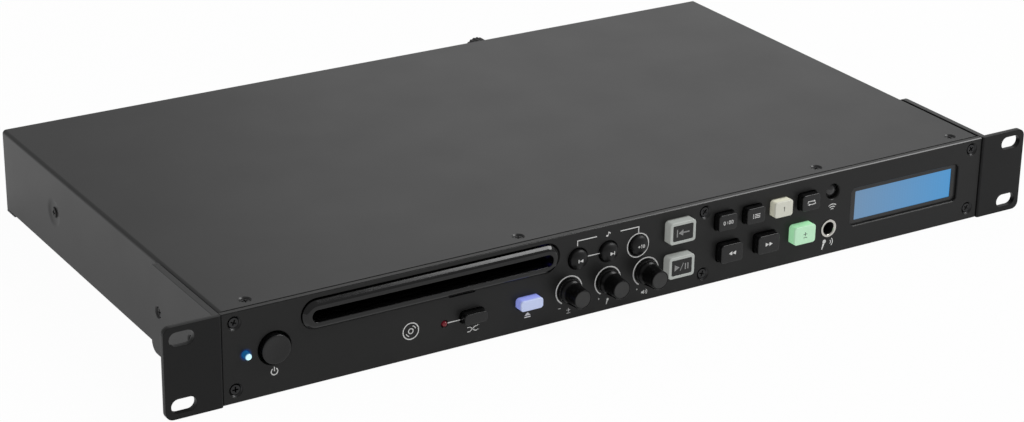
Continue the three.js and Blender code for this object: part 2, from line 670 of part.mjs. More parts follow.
// Rear wall with its foot lip and the cut-outs for the sockets
function rearPanel() {
  const wall = wallOutline(0);
  const inletX = rearShare.inlet * coverWidth;
  wall.holes.push(roundedHole(
    inlet.bodyWidth + 2 * fit, inlet.bodyHeight + 2 * fit, inlet.corner, inletX, rearRise.socket,
  ));
  wall.holes.push(ring(fuse.body + fit, rearShare.fuse * coverWidth, rearRise.fuse));
  for (const share of [rearShare.xlrLeft, rearShare.xlrRight]) {
    wall.holes.push(ring(xlr.shell + fit, share * coverWidth, rearRise.socket));
  }
  for (const px of phonoPlaces()) wall.holes.push(ring(phono.barrel + fit, px, rearRise.low));
  for (const way of [-1, 1]) {
    wall.holes.push(ring(inlet.screwHole, inletX + way * inlet.screwGap, rearRise.socket, holeSteps));
  }
  const pieces = [
    facing(wall, rearInner, rearFace),
    block(-coverWidth / 2, coverWidth / 2, rearFace - lip.length, rearFace, 0, lip.height),
    block(-trayInner, trayInner, rearFace - cover.screwSetback, rearFace, trayTop - sheet, trayTop),
  ];
  return mesh('rear_panel', join(...pieces), finishes.coverPaint);
}

// Push button made of a cap, a flange behind the panel and a stem
function pushButton([name, size, bx, bz, material]) {
  const flangeBack = frontBack + cap.flangeThickness;
  const stemEnd = switchFront - cap.travel - fit;
  const shape = rounded(size.width, size.height, size.corner);
  const flangeShape = rounded(
    size.width + 2 * cap.flange, size.height + 2 * cap.flange, size.corner + cap.flange,
  );
  let piece = join(
    facing(shape, -size.reach, flangeBack, cap.edge),
    facing(flangeShape, frontBack, flangeBack),
    block(-cap.stem / 2, cap.stem / 2, frontBack, stemEnd, -cap.stem / 2, cap.stem / 2),
  );
  if (size === squareCap) {
    const face = rounded(squareFace.width, squareFace.height, squareFace.corner);
    piece = cut(piece, facing(face, -size.reach - overrun, squareFace.deep - size.reach));
  }
  return at(mesh(name, piece, material), bx, 0, bz);
}

function roundButton(name, bx) {
  const flangeBack = frontBack + cap.flangeThickness;
  const profile = [
    [0, -roundCap.reach], [roundCap.radius / 2, -roundCap.dome], [roundCap.radius, -roundCap.shoulder],
    [roundCap.radius, frontBack], [roundCap.radius + cap.flange, frontBack],
    [roundCap.radius + cap.flange, flangeBack], [cap.stem / 2, flangeBack],
    [cap.stem / 2, switchFront - cap.travel - fit], [0, switchFront - cap.travel - fit],
  ];
  return at(mesh(name, turned('y', profile, [0, 0, 0], fineSteps), finishes.blackCap), bx, 0, rise.track);
}

function powerButton() {
  const flangeBack = frontBack + cap.flangeThickness;
  const stemEnd = switchFront - powerCap.travel - fit;
  const profile = [
    [0, -powerCap.reach], [powerCap.radius - powerCap.edge, -powerCap.reach],
    [powerCap.radius, powerCap.edge - powerCap.reach], [powerCap.radius, frontBack],
    [powerCap.radius + cap.flange, frontBack], [powerCap.radius + cap.flange, flangeBack],
    [cap.stem / 2, flangeBack], [cap.stem / 2, stemEnd], [0, stemEnd],
  ];
  const piece = turned('y', profile, [0, 0, 0], fineSteps);
  return at(mesh('power_button', piece, finishes.blackCap), x.power, 0, rise.power);
}

// Knob with a pointer rib, one piece with its shaft
function rotaryKnob(name, kx) {
  const end = controlBoard.setback - fit - potentiometer.end - fit;
  const face = -knob.reach;
  const body = turned('y', [
    [0, face], [knob.tip - knob.edge, face], [knob.tip, face + knob.edge], [knob.base, -knob.lift],
    [knob.shaft, -knob.lift], [knob.shaft, end], [0, end],
  ]);
  const side = outline([
    [0, -knob.lift], [knob.rib, -knob.lift], [knob.ribTip, face + knob.edge], [0, face + knob.edge],
  ]);
  const swept = new THREE.ExtrudeGeometry(side, { depth: knob.ribWidth, bevelEnabled: false });
  const rib = solid(swept.translate(0, 0, -knob.ribWidth / 2).rotateY(-radians(knobRestDegrees)));
  return at(mesh(`${name}_knob`, join(body, rib), finishes.knobBlack), kx, 0, rise.knob);
}

function rotaryPotentiometer(name, kx) {
  const back = controlBoard.setback - fit;
  const front = frontBack + sheet + fit;
  const bore = knob.shaft + fit;
  const piece = turned('y', [
    [0, back - potentiometer.end], [bore, back - potentiometer.end], [bore, front],
    [potentiometer.radius, front], [potentiometer.radius, back], [0, back],
  ]);
  return at(mesh(`${name}_potentiometer`, piece, finishes.tin), kx, 0, rise.knob);
}

// Lamps, sensor lens and microphone socket
function lamp(name, size, lx, lz, material) {
  const crown = size.radius * Math.SQRT1_2;
  const piece = turned('y', [
    [0, -size.reach], [crown, size.radius - size.reach - crown], [size.radius, size.radius - size.reach],
    [size.radius, frontBack], [size.flange, frontBack], [size.flange, frontBack + sheet],
    [size.radius, frontBack + sheet], [size.radius, controlBoard.setback - fit],
    [0, controlBoard.setback - fit],
  ], [0, 0, 0], holeSteps);
  return at(mesh(name, piece, material), lx, 0, lz);
}

function sensorLens() {
  const radius = sensor.radius - fit;
  const piece = turned('y', [
    [0, sensor.setback], [radius / 2, sensor.setback + sensor.crown / 4],
    [radius, sensor.setback + sensor.crown], [radius, frontBack],
    [sensor.radius + sensor.flange, frontBack], [sensor.radius + sensor.flange, frontBack + sheet],
    [radius, frontBack + sheet], [radius, controlBoard.setback - fit], [0, controlBoard.setback - fit],
  ]);
  return at(mesh('sensor_lens', piece, finishes.smoked), x.sensor, 0, rise.sensor);
}

function micJack() {
  const front = frontBack + sheet + fit;
  const half = jack.body / 2;
  const body = join(
    turned('y', [
      [0, -jack.proud], [jack.nut, -jack.proud], [jack.nut, -fit], [jack.barrel, -fit],
      [jack.barrel, front + overrun],
      [0, front + overrun],
    ]),
    block(-half, half, front, front + jack.length, -half, half),
  );
  const bore = rod('y', jack.bore, -jack.proud - overrun, jack.boreDepth, [0, 0, 0], fineSteps);
  return at(mesh('mic_jack', cut(body, bore), finishes.nickel), x.jack, 0, rise.jack);
}

// Display: the window in the panel and the module behind it
function displayWindow() {
  const [w, h] = [display.width - 2 * fit, display.height - 2 * fit];
  const back = frontBack + sheet;
  const wide = rounded(
    display.width + 2 * display.flange, display.height + 2 * display.flange, display.corner,
  );
  const piece = join(
    facing(rounded(w, h, display.corner - fit), display.setback, back),
    facing(wide, frontBack, back),
  );
  return at(mesh('display_window', piece, finishes.smoked), x.display, 0, rise.display);
}

function displayModule() {
  const [w, h] = [display.width / 2 + module.sideMargin, display.height / 2 + module.endMargin];
  const front = frontBack + sheet + fit;
  const body = block(-w, w, front, controlBoard.setback - fit, -h, h);
  const screenWidth = display.width - 2 * module.sideBorder;
  const screenHeight = display.height - 2 * module.endBorder;
  const screen = facing(rounded(screenWidth, screenHeight, fit), front - overrun, front + module.screenDeep);
  return at(mesh('display_module', cut(body, screen), finishes.screen), x.display, 0, rise.display);
}

// Board behind the panel: it is low under the slot and full height beside it
function controlBoardPiece() {
  const [front, back] = [controlBoard.setback, controlBoard.setback + boardThickness];
  const [left, right] = [controlBoard.inset - trayInner, trayInner - controlBoard.inset];
  const stripStart = x.slot - bezelHalf - 2 * bezel.flange;
  const stripEnd = x.slot + bezelHalf + 2 * bezel.flange;
  const shape = outline([
    [left, controlBoard.low], [right, controlBoard.low],
    [right, controlBoard.high], [stripEnd, controlBoard.high],
    [stripEnd, controlBoard.strip], [stripStart, controlBoard.strip], [stripStart, controlBoard.tower],
    [left, controlBoard.tower],
  ]);
  const half = jack.body / 2 + fit;
  shape.holes.push(rectangle(x.jack - half, x.jack + half, rise.jack - half, rise.jack + half));
  const size = controlSwitch.size / 2;
  const places = [...buttons.map(([, , bx, bz]) => [bx, bz]), ...x.track.map((bx) => [bx, rise.track])];
  places.push([x.power, rise.power]);
  const switches = places.map(([bx, bz]) => (
    block(bx - size, bx + size, switchFront, back, bz - size, bz + size)
  ));
  return mesh('control_board', join(facing(shape, front, back), ...switches), finishes.board);
}

// A board on pillars with a few parts on it
function flatBoard(name, [x0, x1, y0, y1], parts) {
  const top = boardLow + boardThickness;
  const plate = block(x0, x1, y0, y1, boardLow, top);
  return mesh(name, join(plate, ...parts(top)), finishes.board);
}

function can(px, py, top) {
  return rod('z', part.can, boardLow, top + part.canHeight, [px, py, 0]);
}

function mainBoardPiece() {
  const [x0, x1, y0, y1] = mainSpan;
  const [mx, my] = [(x0 + x1) / 2, (y0 + y1) / 2];
  const chip = part.chip / 2;
  return flatBoard('main_board', mainSpan, (top) => [
    block(mx - chip, mx + chip, my - chip, my + chip, boardLow, top + part.chipHeight),
    block(x0 + chip, x0 + chip + part.chip, my - chip, my + chip, boardLow, top + part.chipHeight),
    ...[1, 2, 3].map((n) => can(x1 - n * part.pitch, y1 - part.pitch, top)),
  ]);
}

function supplyBoardPiece() {
  const [x0, x1, y0, y1] = supplySpan;
  const mid = (y0 + y1) / 2;
  return flatBoard('power_supply_board', supplySpan, (top) => [
    block(
      x0 + part.pitch, x0 + part.pitch + heatSink.length, mid, mid + heatSink.width,
      boardLow, top + heatSink.height,
    ),
    ...[1, 2].map((n) => can(x0 + n * part.pitch, y0 + part.pitch, top)),
  ]);
}

function toroidTransformer() {
  const [low, high] = [floorTop + fit, floorTop + fit + toroid.height];
  const { outer, inner, round } = toroid;
  const piece = turned('z', [
    [inner, low + round / 2], [inner + round / 2, low], [outer - round, low], [outer, low + round],
    [outer, high - round], [outer - round, high], [inner + round / 2, high], [inner, high - round / 2],
    [inner, low + round / 2],
  ], [0, 0, 0], fineSteps);
  const made = mesh('transformer', piece, finishes.copper);
  return at(made, trayInner - toroid.fromSide, rearInner - toroid.fromRear, 0);
}

// Sockets of the rear panel. Each is drawn about its own axis, with Y zero at the panel's outer face
function powerInlet() {
  const mouth = fit + inlet.flange;
  const flange = facing(rounded(inlet.flangeWidth, inlet.flangeHeight, inlet.corner), fit, mouth);
  const bodyShape = rounded(inlet.bodyWidth, inlet.bodyHeight, inlet.corner - fit);
  const body = facing(bodyShape, -inlet.bodyLength, mouth);
  const cavity = facing(
    rounded(inlet.cavityWidth, inlet.cavityHeight, inlet.corner / 2),
    mouth - inlet.cavityDepth, mouth + overrun,
  );
  const floor = mouth - inlet.cavityDepth;
  const pins = [[-1, 0], [0, 1], [1, 0]].map(([way, up]) => {
    const [px, pz] = [way * inlet.pinGap, (up - 1 / 2) * inlet.earthRise];
    return block(
      px - inlet.pinWidth / 2, px + inlet.pinWidth / 2, floor - overrun, floor + inlet.pinLength,
      pz - inlet.pinHeight / 2, pz + inlet.pinHeight / 2,
    );
  });
  const screws = [-1, 1].map((way) => rod(
    'y', inlet.screwHole, fit - overrun, mouth + overrun, [way * inlet.screwGap, 0, 0], holeSteps,
  ));
  const piece = join(cut(join(flange, body), cavity, ...screws), ...pins);
  const made = mesh('power_inlet', piece, finishes.driveBlack);
  return at(made, rearShare.inlet * coverWidth, rearFace, rearRise.socket);
}

function fuseHolder() {
  const end = fit + fuse.capLength;
  const body = turned('y', [
    [0, -fuse.bodyLength], [fuse.body, -fuse.bodyLength], [fuse.body, fit], [fuse.flange, fit],
    [fuse.flange, fit + fuse.flangeThickness], [fuse.cap, fit + fuse.flangeThickness],
    [fuse.cap, end - fuse.gripDeep],
    [fuse.cap - fuse.gripDeep, end], [0, end],
  ]);
  const grips = [];
  for (let n = 0; n < gripCount; n += 1) {
    const angle = (whole * n) / gripCount;
    const centre = [fuse.cap * Math.cos(angle), 0, fuse.cap * Math.sin(angle)];
    grips.push(rod('y', fuse.gripDeep / 2, fuse.gripStart, end + overrun, centre, gripSteps));
  }
  const made = mesh('fuse_holder', cut(body, ...grips), finishes.driveBlack);
  return at(made, rearShare.fuse * coverWidth, rearFace, rearRise.fuse);
}

function xlrSocket(name, share) {
  const face = fit + xlr.flange;
  const mouth = fit + xlr.reach;
  const flange = facing(rounded(xlr.flangeWidth, xlr.flangeHeight, xlr.corner), fit, face);
  const shell = rod('y', xlr.shell, -xlr.bodyLength, mouth, [0, 0, 0], fineSteps);
  const bore = rod('y', xlr.bore, mouth - xlr.depth, mouth + overrun, [0, 0, 0], fineSteps);
  const screws = [-1, 1].map((way) => rod(
    'y', xlr.screwHole, fit - overrun, face + overrun, [way * xlr.screwX, 0, way * xlr.screwZ], holeSteps,
  ));
  const floor = mouth - xlr.depth;
  const pins = Array.from({ length: xlrPinCount }, (_, n) => {
    const angle = (n / xlrPinCount) * whole + quarter;
    const centre = [xlr.pinCircle * Math.cos(angle), 0, xlr.pinCircle * Math.sin(angle)];
    return rod('y', xlr.pin, floor - overrun, floor + xlr.pinLength, centre, holeSteps);
  });
  const piece = join(cut(join(flange, shell), bore, ...screws), ...pins);
  return at(mesh(name, piece, finishes.nickel), share * coverWidth, rearFace, rearRise.socket);
}

function phonoPlaces() {
  const audio = rearShare.audio * coverWidth;
  return [audio - phono.pitch / 2, audio + phono.pitch / 2, rearShare.digital * coverWidth];
}

function phonoBlock(name, places, centre) {
  const offsets = places.map((px) => px - centre);
  const half = Math.max(...offsets) + phono.margin;
  const face = fit + phono.plate;
  const plate = facing(rounded(2 * half, phono.plateHeight, phono.corner), fit, face);
  const tall = phono.plateHeight / 2;
  const body = block(-half, half, -phono.body - sheet, -sheet - fit, -tall, tall);
  const barrels = offsets.map((px) => rod('y', phono.barrel, -phono.body, face + phono.reach, [px, 0, 0]));
  const bores = offsets.map((px) => rod(
    'y', phono.bore, face + phono.reach - phono.boreDepth, face + phono.reach + overrun,
    [px, 0, 0], holeSteps,
  ));
  const piece = cut(join(plate, body, ...barrels), ...bores);
  return at(mesh(name, piece, finishes.nickel), centre, rearFace, rearRise.low);
}

// Involute gear outline about the origin, with a tooth centred on the given angle
function gearShape(teeth, toothAngle, bore) {
  const pitch = (gear.module * teeth) / 2;
  const base = pitch * Math.cos(radians(pressureDegrees));
  const tip = pitch + toothShare.addendum * gear.module;
  const root = pitch - toothShare.dedendum * gear.module;
  const involute = (r) => {
    const a = Math.acos(Math.min(1, base / r));
    return Math.tan(a) - a;
  };
  const middle = quarter / teeth - gear.backlash / (4 * pitch) + involute(pitch);
  const half = (r) => middle - involute(Math.max(r, base));
  const radii = [root, pitch, tip];
  const points = [];
  for (let n = 0; n < teeth; n += 1) {
    const centre = toothAngle + (whole * n) / teeth;
    const rising = radii.map((r) => [r, centre - half(r)]);
    const falling = radii.map((r) => [r, centre + half(r)]).reverse();
    points.push(...[...rising, ...falling].map(([r, angle]) => [r * Math.cos(angle), r * Math.sin(angle)]));
  }
  const shape = outline(points);
  shape.holes.push(ring(bore));
  return shape;
}

// Disc drive: its places across are measured from the middle of the slot
function meshPoint([y, z], firstTeeth, secondTeeth, degrees) {
  const distance = (gear.module * (firstTeeth + secondTeeth)) / 2;
  return [y + distance * Math.cos(radians(degrees)), z + distance * Math.sin(radians(degrees))];
}
const rollerPlace = [drive.front + roller.setback, slotRise - roller.drop];
const idlerPlace = meshPoint(rollerPlace, teethCount.roller, teethCount.idler, idlerDegrees);
const pinionPlace = meshPoint(idlerPlace, teethCount.idler, teethCount.pinion, pinionDegrees);
const wallOuter = slotLength / 2 + drive.sideRoom;
const wallInner = wallOuter - drive.wall;
const gearOuter = -wallOuter - fit - gear.width;
const gearInner = gearOuter + gear.width;
const spindleY = drive.front + drive.frontRoom + discDiameter / 2;
const driveRear = spindleY + discDiameter / 2 + drive.rearRoom;
const deckTop = slotRise - drive.deckDrop;
const deckLow = deckTop - drive.deckThickness;
const rodRise = slotRise - guideRod.drop;
const armLow = slotRise + clampArm.over;
const hingePlace = [driveRear - clampArm.fromRear, armLow + clampArm.thickness / 2];
const lensRest = spindleY + pickup.inner;
const rodEnds = [spindleY + guideRod.frontLug, spindleY + guideRod.rearLug + guideRod.lugLength];

// The angle at which the next gear has a tooth, once its neighbour's tooth angle is known
function nextTooth(toothAngle, teeth, nextTeeth, degrees) {
  const line = radians(degrees);
  return line + Math.PI + ((line - toothAngle) * teeth) / nextTeeth + Math.PI / nextTeeth;
}
const rollerTooth = 0;
const idlerTooth = nextTooth(rollerTooth, teethCount.roller, teethCount.idler, idlerDegrees);
const pinionTooth = nextTooth(idlerTooth, teethCount.idler, teethCount.pinion, pinionDegrees);

function loaderFrame() {
  const low = floorTop + fit;
  const walls = [-1, 1].map((side) => {
    const [a, b] = [side * wallInner, side * wallOuter];
    return block(Math.min(a, b), Math.max(a, b), drive.front, driveRear, low, coverUnder - drive.headroom);
  });
  const feet = [-1, 1].map((side) => {
    const [a, b] = [side * wallOuter, side * (wallInner - drive.foot)];
    return block(Math.min(a, b), Math.max(a, b), driveRear - drive.foot, driveRear, low, low + drive.wall);
  });
  const deckFront = drive.front + drive.deckSetback;
  const deck = block(-wallInner - fit, wallInner + fit, deckFront, driveRear - fit, deckLow, deckTop);
  const guideFront = drive.front + drive.guideSetback;
  const guideLow = slotRise + drive.guideRise;
  const guide = block(
    -wallInner - fit, wallInner + fit, guideFront, guideFront + drive.guideDepth,
    guideLow, guideLow + drive.guideThickness,
  );
  const rearWall = block(
    -wallInner - fit, wallInner + fit, driveRear - drive.wall, driveRear,
    deckLow + fit, deckLow + drive.rearWallRise,
  );
  const lugs = [rodEnds[0], rodEnds[1] - guideRod.lugLength].flatMap((ly) => [-1, 1].map((side) => block(
    side * guideRod.offset - guideRod.lugWidth / 2,
    side * guideRod.offset + guideRod.lugWidth / 2 + (side > 0 ? screwDrive.offset - guideRod.offset : 0),
    ly, ly + guideRod.lugLength, rodRise - pickup.lugUnder, deckTop,
  )));
  const window = block(
    -pickup.width / 2 - pickup.gap, pickup.width / 2 + pickup.gap, lensRest - pickup.ahead - pickup.gap,
    lensRest + pickup.travel + pickup.behind + pickup.gap, deckLow - overrun, deckTop + overrun,
  );
  const hubHole = rod(
    'z', spindle.hub + spindle.hubGap, deckLow - overrun, deckTop + overrun, [0, spindleY, 0],
  );
  const bores = [
    ...[-1, 1].map((side) => rod(
      'y', guideRod.radius + fit, rodEnds[0] + guideRod.lugEnd, rodEnds[1] - guideRod.lugEnd,
      [side * guideRod.offset, 0, rodRise], holeSteps,
    )),
    rod(
      'y', screwDrive.journal + fit, rodEnds[0] + guideRod.lugEnd, rodEnds[1] + overrun,
      [screwDrive.offset, 0, rodRise], holeSteps,
    ),
  ];
  const through = (radius, place) => (
    rod('x', radius, -wallOuter - overrun, wallOuter + overrun, [0, ...place], holeSteps)
  );
  const motorHole = rod(
    'x', loadingMotor.boss + fit, -wallOuter - overrun, -wallInner + overrun, [0, ...pinionPlace],
  );
  const stud = rod('x', gear.stud, gearOuter, -wallInner, [0, ...idlerPlace], holeSteps);
  const shell = cut(
    join(...walls, ...feet, deck, guide, rearWall, ...lugs), window, hubHole, ...bores,
    through(roller.shaft + fit, rollerPlace), through(clampArm.pin + fit, hingePlace), motorHole,
  );
  return mesh('loader_frame', join(shell, stud), finishes.driveBlack);
}

function rollerPieces() {
  const half = wallInner - roller.end;
  const sleeve = turned('x', [
    [roller.shaft + fit, -half], [roller.radius, -half], [roller.waist, 0], [roller.radius, half],
    [roller.shaft + fit, half], [roller.shaft + fit, -half],
  ]);
  const shaft = rod('x', roller.shaft, gearOuter, wallOuter, [0, 0, 0], holeSteps);
  const wheel = across(gearShape(teethCount.roller, rollerTooth, roller.shaft + fit), gearOuter, gearInner);
  const place = [0, ...rollerPlace];
  return [
    at(mesh('loading_roller', sleeve, finishes.rubber), ...place),
    at(mesh('roller_shaft', shaft, finishes.steel), ...place),
    at(mesh('roller_gear', wheel, finishes.whiteGear), ...place),
  ];
}

function gearTrain() {
  const idler = across(gearShape(teethCount.idler, idlerTooth, gear.stud + fit), gearOuter, gearInner);
  const teeth = gearShape(teethCount.pinion, pinionTooth, loadingMotor.shaft / 2);
  const wheel = across(teeth, gearOuter, gearInner);
  const shaftEnd = loadingMotor.shaftLength - wallInner;
  const shaft = rod('x', loadingMotor.shaft, gearOuter, shaftEnd, [0, 0, 0], holeSteps);
  return [
    at(mesh('idler_gear', idler, finishes.whiteGear), 0, ...idlerPlace),
    at(mesh('motor_pinion', join(wheel, shaft), finishes.steel), 0, ...pinionPlace),
  ];
}

function loadingMotorPiece() {
  const start = fit - wallInner;
  const body = join(
    rod('x', loadingMotor.radius, start, start + loadingMotor.length),
    rod('x', loadingMotor.boss, start - loadingMotor.bossLength, start + overrun),
  );
  const bore = rod(
    'x', loadingMotor.shaft + fit, start - loadingMotor.bossLength - overrun,
    loadingMotor.shaftLength - wallInner + loadingMotor.endGap, [0, 0, 0], holeSteps,
  );
  return at(mesh('loading_motor', cut(body, bore), finishes.tin), 0, ...pinionPlace);
}

function spindlePieces() {
  const motorTop = deckLow - fit;
  const motorLow = motorTop - spindleMotor.height;
  const motor = cut(
    rod('z', spindleMotor.radius, motorLow, motorTop, [0, 0, 0], fineSteps),
    rod('z', spindle.shaft + fit, motorLow + spindleMotor.floor, motorTop + overrun, [0, 0, 0], holeSteps),
  );
  const hubLow = motorTop + 2 * fit;
  const shaftLow = hubLow - spindle.shaftLength;
  const top = slotRise - spindle.drop;
  const coneTop = top + spindle.coneHeight;
  const under = top - spindle.rim;
  const table = turned('z', [
    [0, coneTop], [spindle.coneTip, coneTop], [spindle.cone, top],
    [spindle.radius, top], [spindle.radius, under], [spindle.hub, under],
    [spindle.hub, hubLow], [spindle.shaft, hubLow], [spindle.shaft, shaftLow], [0, shaftLow],
  ], [0, 0, 0], fineSteps);
  return [
    at(mesh('spindle_motor', motor, finishes.tin), 0, spindleY, 0),
    at(mesh('turntable', table, finishes.driveBlack), 0, spindleY, 0),
  ];
}

// Laser pickup on its two rods; its origin is under the lens
function pickupSled() {
  const half = pickup.width / 2;
  const high = slotRise - pickup.drop;
  const body = block(-half, half, -pickup.ahead, pickup.behind, high - pickup.height, high);
  const lens = rod('z', pickup.lens, high - overrun, high + pickup.lensHeight);
  const reach = screwDrive.offset - screwDrive.radius - fit;
  const lug = (x0, x1) => block(
    x0, x1, -pickup.ahead, pickup.lugLength - pickup.ahead,
    rodRise - pickup.lugUnder, rodRise + pickup.lugOver,
  );
  const lugs = [
    lug(-guideRod.offset - pickup.lugWidth / 2, -half + overrun),
    lug(half - overrun, reach),
  ];
  const bores = [-1, 1].map((side) => rod(
    'y', guideRod.radius + fit, -pickup.ahead - overrun, pickup.behind + overrun,
    [side * guideRod.offset, 0, rodRise], holeSteps,
  ));
  const piece = cut(join(body, lens, ...lugs), ...bores);
  return at(mesh('pickup_sled', piece, finishes.driveBlack), 0, lensRest, 0);
}

function guideRods() {
  return [['guide_rod_left', -1], ['guide_rod_right', 1]].map(([name, side]) => {
    const inset = guideRod.lugEnd + fit;
    const piece = rod('y', guideRod.radius, rodEnds[0] + inset, rodEnds[1] - inset, [0, 0, 0], holeSteps);
    return at(mesh(name, piece, finishes.steel), side * guideRod.offset, 0, rodRise);
  });
}

// Lead screw with a real thread: rings about the axis whose radius follows the thread
function leadScrew() {
  const [start, end] = [rodEnds[0] + guideRod.lugLength + fit, rodEnds[1] - guideRod.lugLength - fit];
  const { lead, radius, root } = screwDrive;
  const rings = Math.round(((end - start) / lead) * threadSteps);
  const places = [];
  for (let n = 0; n <= rings; n += 1) {
    const y = start + ((end - start) * n) / rings;
    for (let s = 0; s < screwSteps; s += 1) {
      const phase = (y - start) / lead - s / screwSteps;
      const r = root + (radius - root) * (1 / 2 + Math.cos(whole * phase) / 2);
      places.push(r * Math.cos((whole * s) / screwSteps), y, r * Math.sin((whole * s) / screwSteps));
    }
  }
  const index = [];
  for (let n = 0; n < rings; n += 1) {
    for (let s = 0; s < screwSteps; s += 1) {
      const t = (s + 1) % screwSteps;
      const [p, q] = [n * screwSteps, (n + 1) * screwSteps];
      index.push(p + s, q + s, q + t, p + s, q + t, p + t);
    }
  }
  for (let s = 1; s < screwSteps - 1; s += 1) {
    const last = rings * screwSteps;
    index.push(0, s, s + 1, last, last + s + 1, last + s);
  }
  const geometry = new THREE.BufferGeometry();
  geometry.setAttribute('position', new THREE.Float32BufferAttribute(places, 3));
  geometry.setIndex(index);
  const journal = rod(
    'y', screwDrive.journal, rodEnds[0] + guideRod.lugEnd + fit, rodEnds[1] + sledMotor.shaftLength,
    [0, 0, 0], holeSteps,
  );
  const screw = mesh('lead_screw', join(solid(geometry), journal), finishes.steel);
  return at(screw, screwDrive.offset, 0, rodRise);
}

function sledMotorPiece() {
  const start = rodEnds[1] + fit;
  const piece = cut(
    rod('y', sledMotor.radius, start, start + sledMotor.length),
    rod(
      'y', screwDrive.journal + fit, start - overrun, rodEnds[1] + sledMotor.shaftLength + sledMotor.endGap,
      [0, 0, 0], holeSteps,
    ),
  );
  return at(mesh('sled_motor', piece, finishes.tin), screwDrive.offset, 0, rodRise);
}

// Clamp arm and the clamper that hangs in it; the arm's origin is its hinge
function clampArmPiece() {
  const [hy, hz] = hingePlace;
  const front = spindleY - hy - clampArm.tail;
  const half = clampArm.thickness / 2;
  const plate = join(
    block(-clampArm.width / 2, clampArm.width / 2, front, 0, -half, half),
    block(-clampArm.barReach, clampArm.barReach, -clampArm.tail, 0, -half, half),
  );
  const bar = rod('x', clampArm.bar, fit - wallInner, wallInner - fit, [0, 0, 0], holeSteps);
  const pins = rod('x', clampArm.pin, fit - wallOuter, wallOuter - fit, [0, 0, 0], holeSteps);
  const reach = half + overrun;
  const hole = rod('z', clamper.neck + clamper.neckGap, -reach, reach, [0, spindleY - hy, 0]);
  return at(mesh('clamp_arm', join(cut(plate, hole), bar, pins), finishes.steel), 0, hy, hz);
}

function clamperPiece() {
  const seat = armLow + clampArm.thickness + fit;
  const top = seat + clamper.flangeThickness;
  const low = slotRise + clamper.over;
  const recessTop = low + clamper.recessDeep;
  const discTop = low + clamper.discThickness;
  const piece = turned('z', [
    [0, recessTop], [clamper.recess, recessTop], [clamper.recess, low], [clamper.disc, low],
    [clamper.disc, discTop], [clamper.neck, discTop], [clamper.neck, seat], [clamper.flange, seat],
    [clamper.flange, top], [0, top],
  ], [0, 0, 0], fineSteps);
  return at(mesh('clamper', piece, finishes.driveBlack), 0, spindleY, 0);
}

// Assembly
const front = new THREE.Group();
front.add(frontPanel(), slotBezel(), displayWindow(), displayModule());
front.add(controlBoardPiece(), sensorLens(), micJack());
front.add(lamp('power_led', powerLamp, x.powerLed, rise.power, finishes.blueLamp));
front.add(lamp('shuffle_led', shuffleLamp, x.shuffleLed, rise.shuffleLed, finishes.redLamp));
front.add(powerButton(), ...buttons.map(pushButton));
roundButtons.forEach((name, n) => front.add(roundButton(name, x.track[n])));
knobs.forEach((name, n) => front.add(rotaryKnob(name, x.knob[n]), rotaryPotentiometer(name, x.knob[n])));

const caseParts = new THREE.Group();
caseParts.add(chassisTray(), topCover(), rearPanel(), rackEar(-1), rackEar(1));
caseParts.add(mainBoardPiece(), supplyBoardPiece(), toroidTransformer(), powerInlet(), fuseHolder());
caseParts.add(xlrSocket('xlr_left', rearShare.xlrLeft), xlrSocket('xlr_right', rearShare.xlrRight));
const phonos = phonoPlaces();
caseParts.add(phonoBlock('audio_outputs', phonos.slice(0, 2), (phonos[0] + phonos[1]) / 2));
caseParts.add(phonoBlock('digital_output', phonos.slice(2), phonos[2]));

const discDrive = at(new THREE.Group(), x.slot, 0, 0);
discDrive.add(loaderFrame(), ...rollerPieces(), ...gearTrain(), loadingMotorPiece(), ...spindlePieces());
discDrive.add(pickupSled(), ...guideRods(), leadScrew(), sledMotorPiece(), clampArmPiece(), clamperPiece());

// The origin is under the middle of the whole player, between the knobs' faces and the fuse cap's end
const group = new THREE.Group();
group.add(front, caseParts, discDrive);
group.position.y = (knob.reach - (rearFace + fit + fuse.capLength)) / 2;

export default group;
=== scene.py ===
"""A slot-loading rack-mount disc player, dressed for rendering.

Sizes are millimetres, with Y zero at the front face. Each piece is turned into metres, in the frame of the
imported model, when it is finished. X runs to the right, Y to the rear and Z up.
"""
import json
from math import cos, dist, pi, radians, sin
from types import SimpleNamespace as Sizes

import bmesh
import bpy
from mathutils import Matrix, Vector

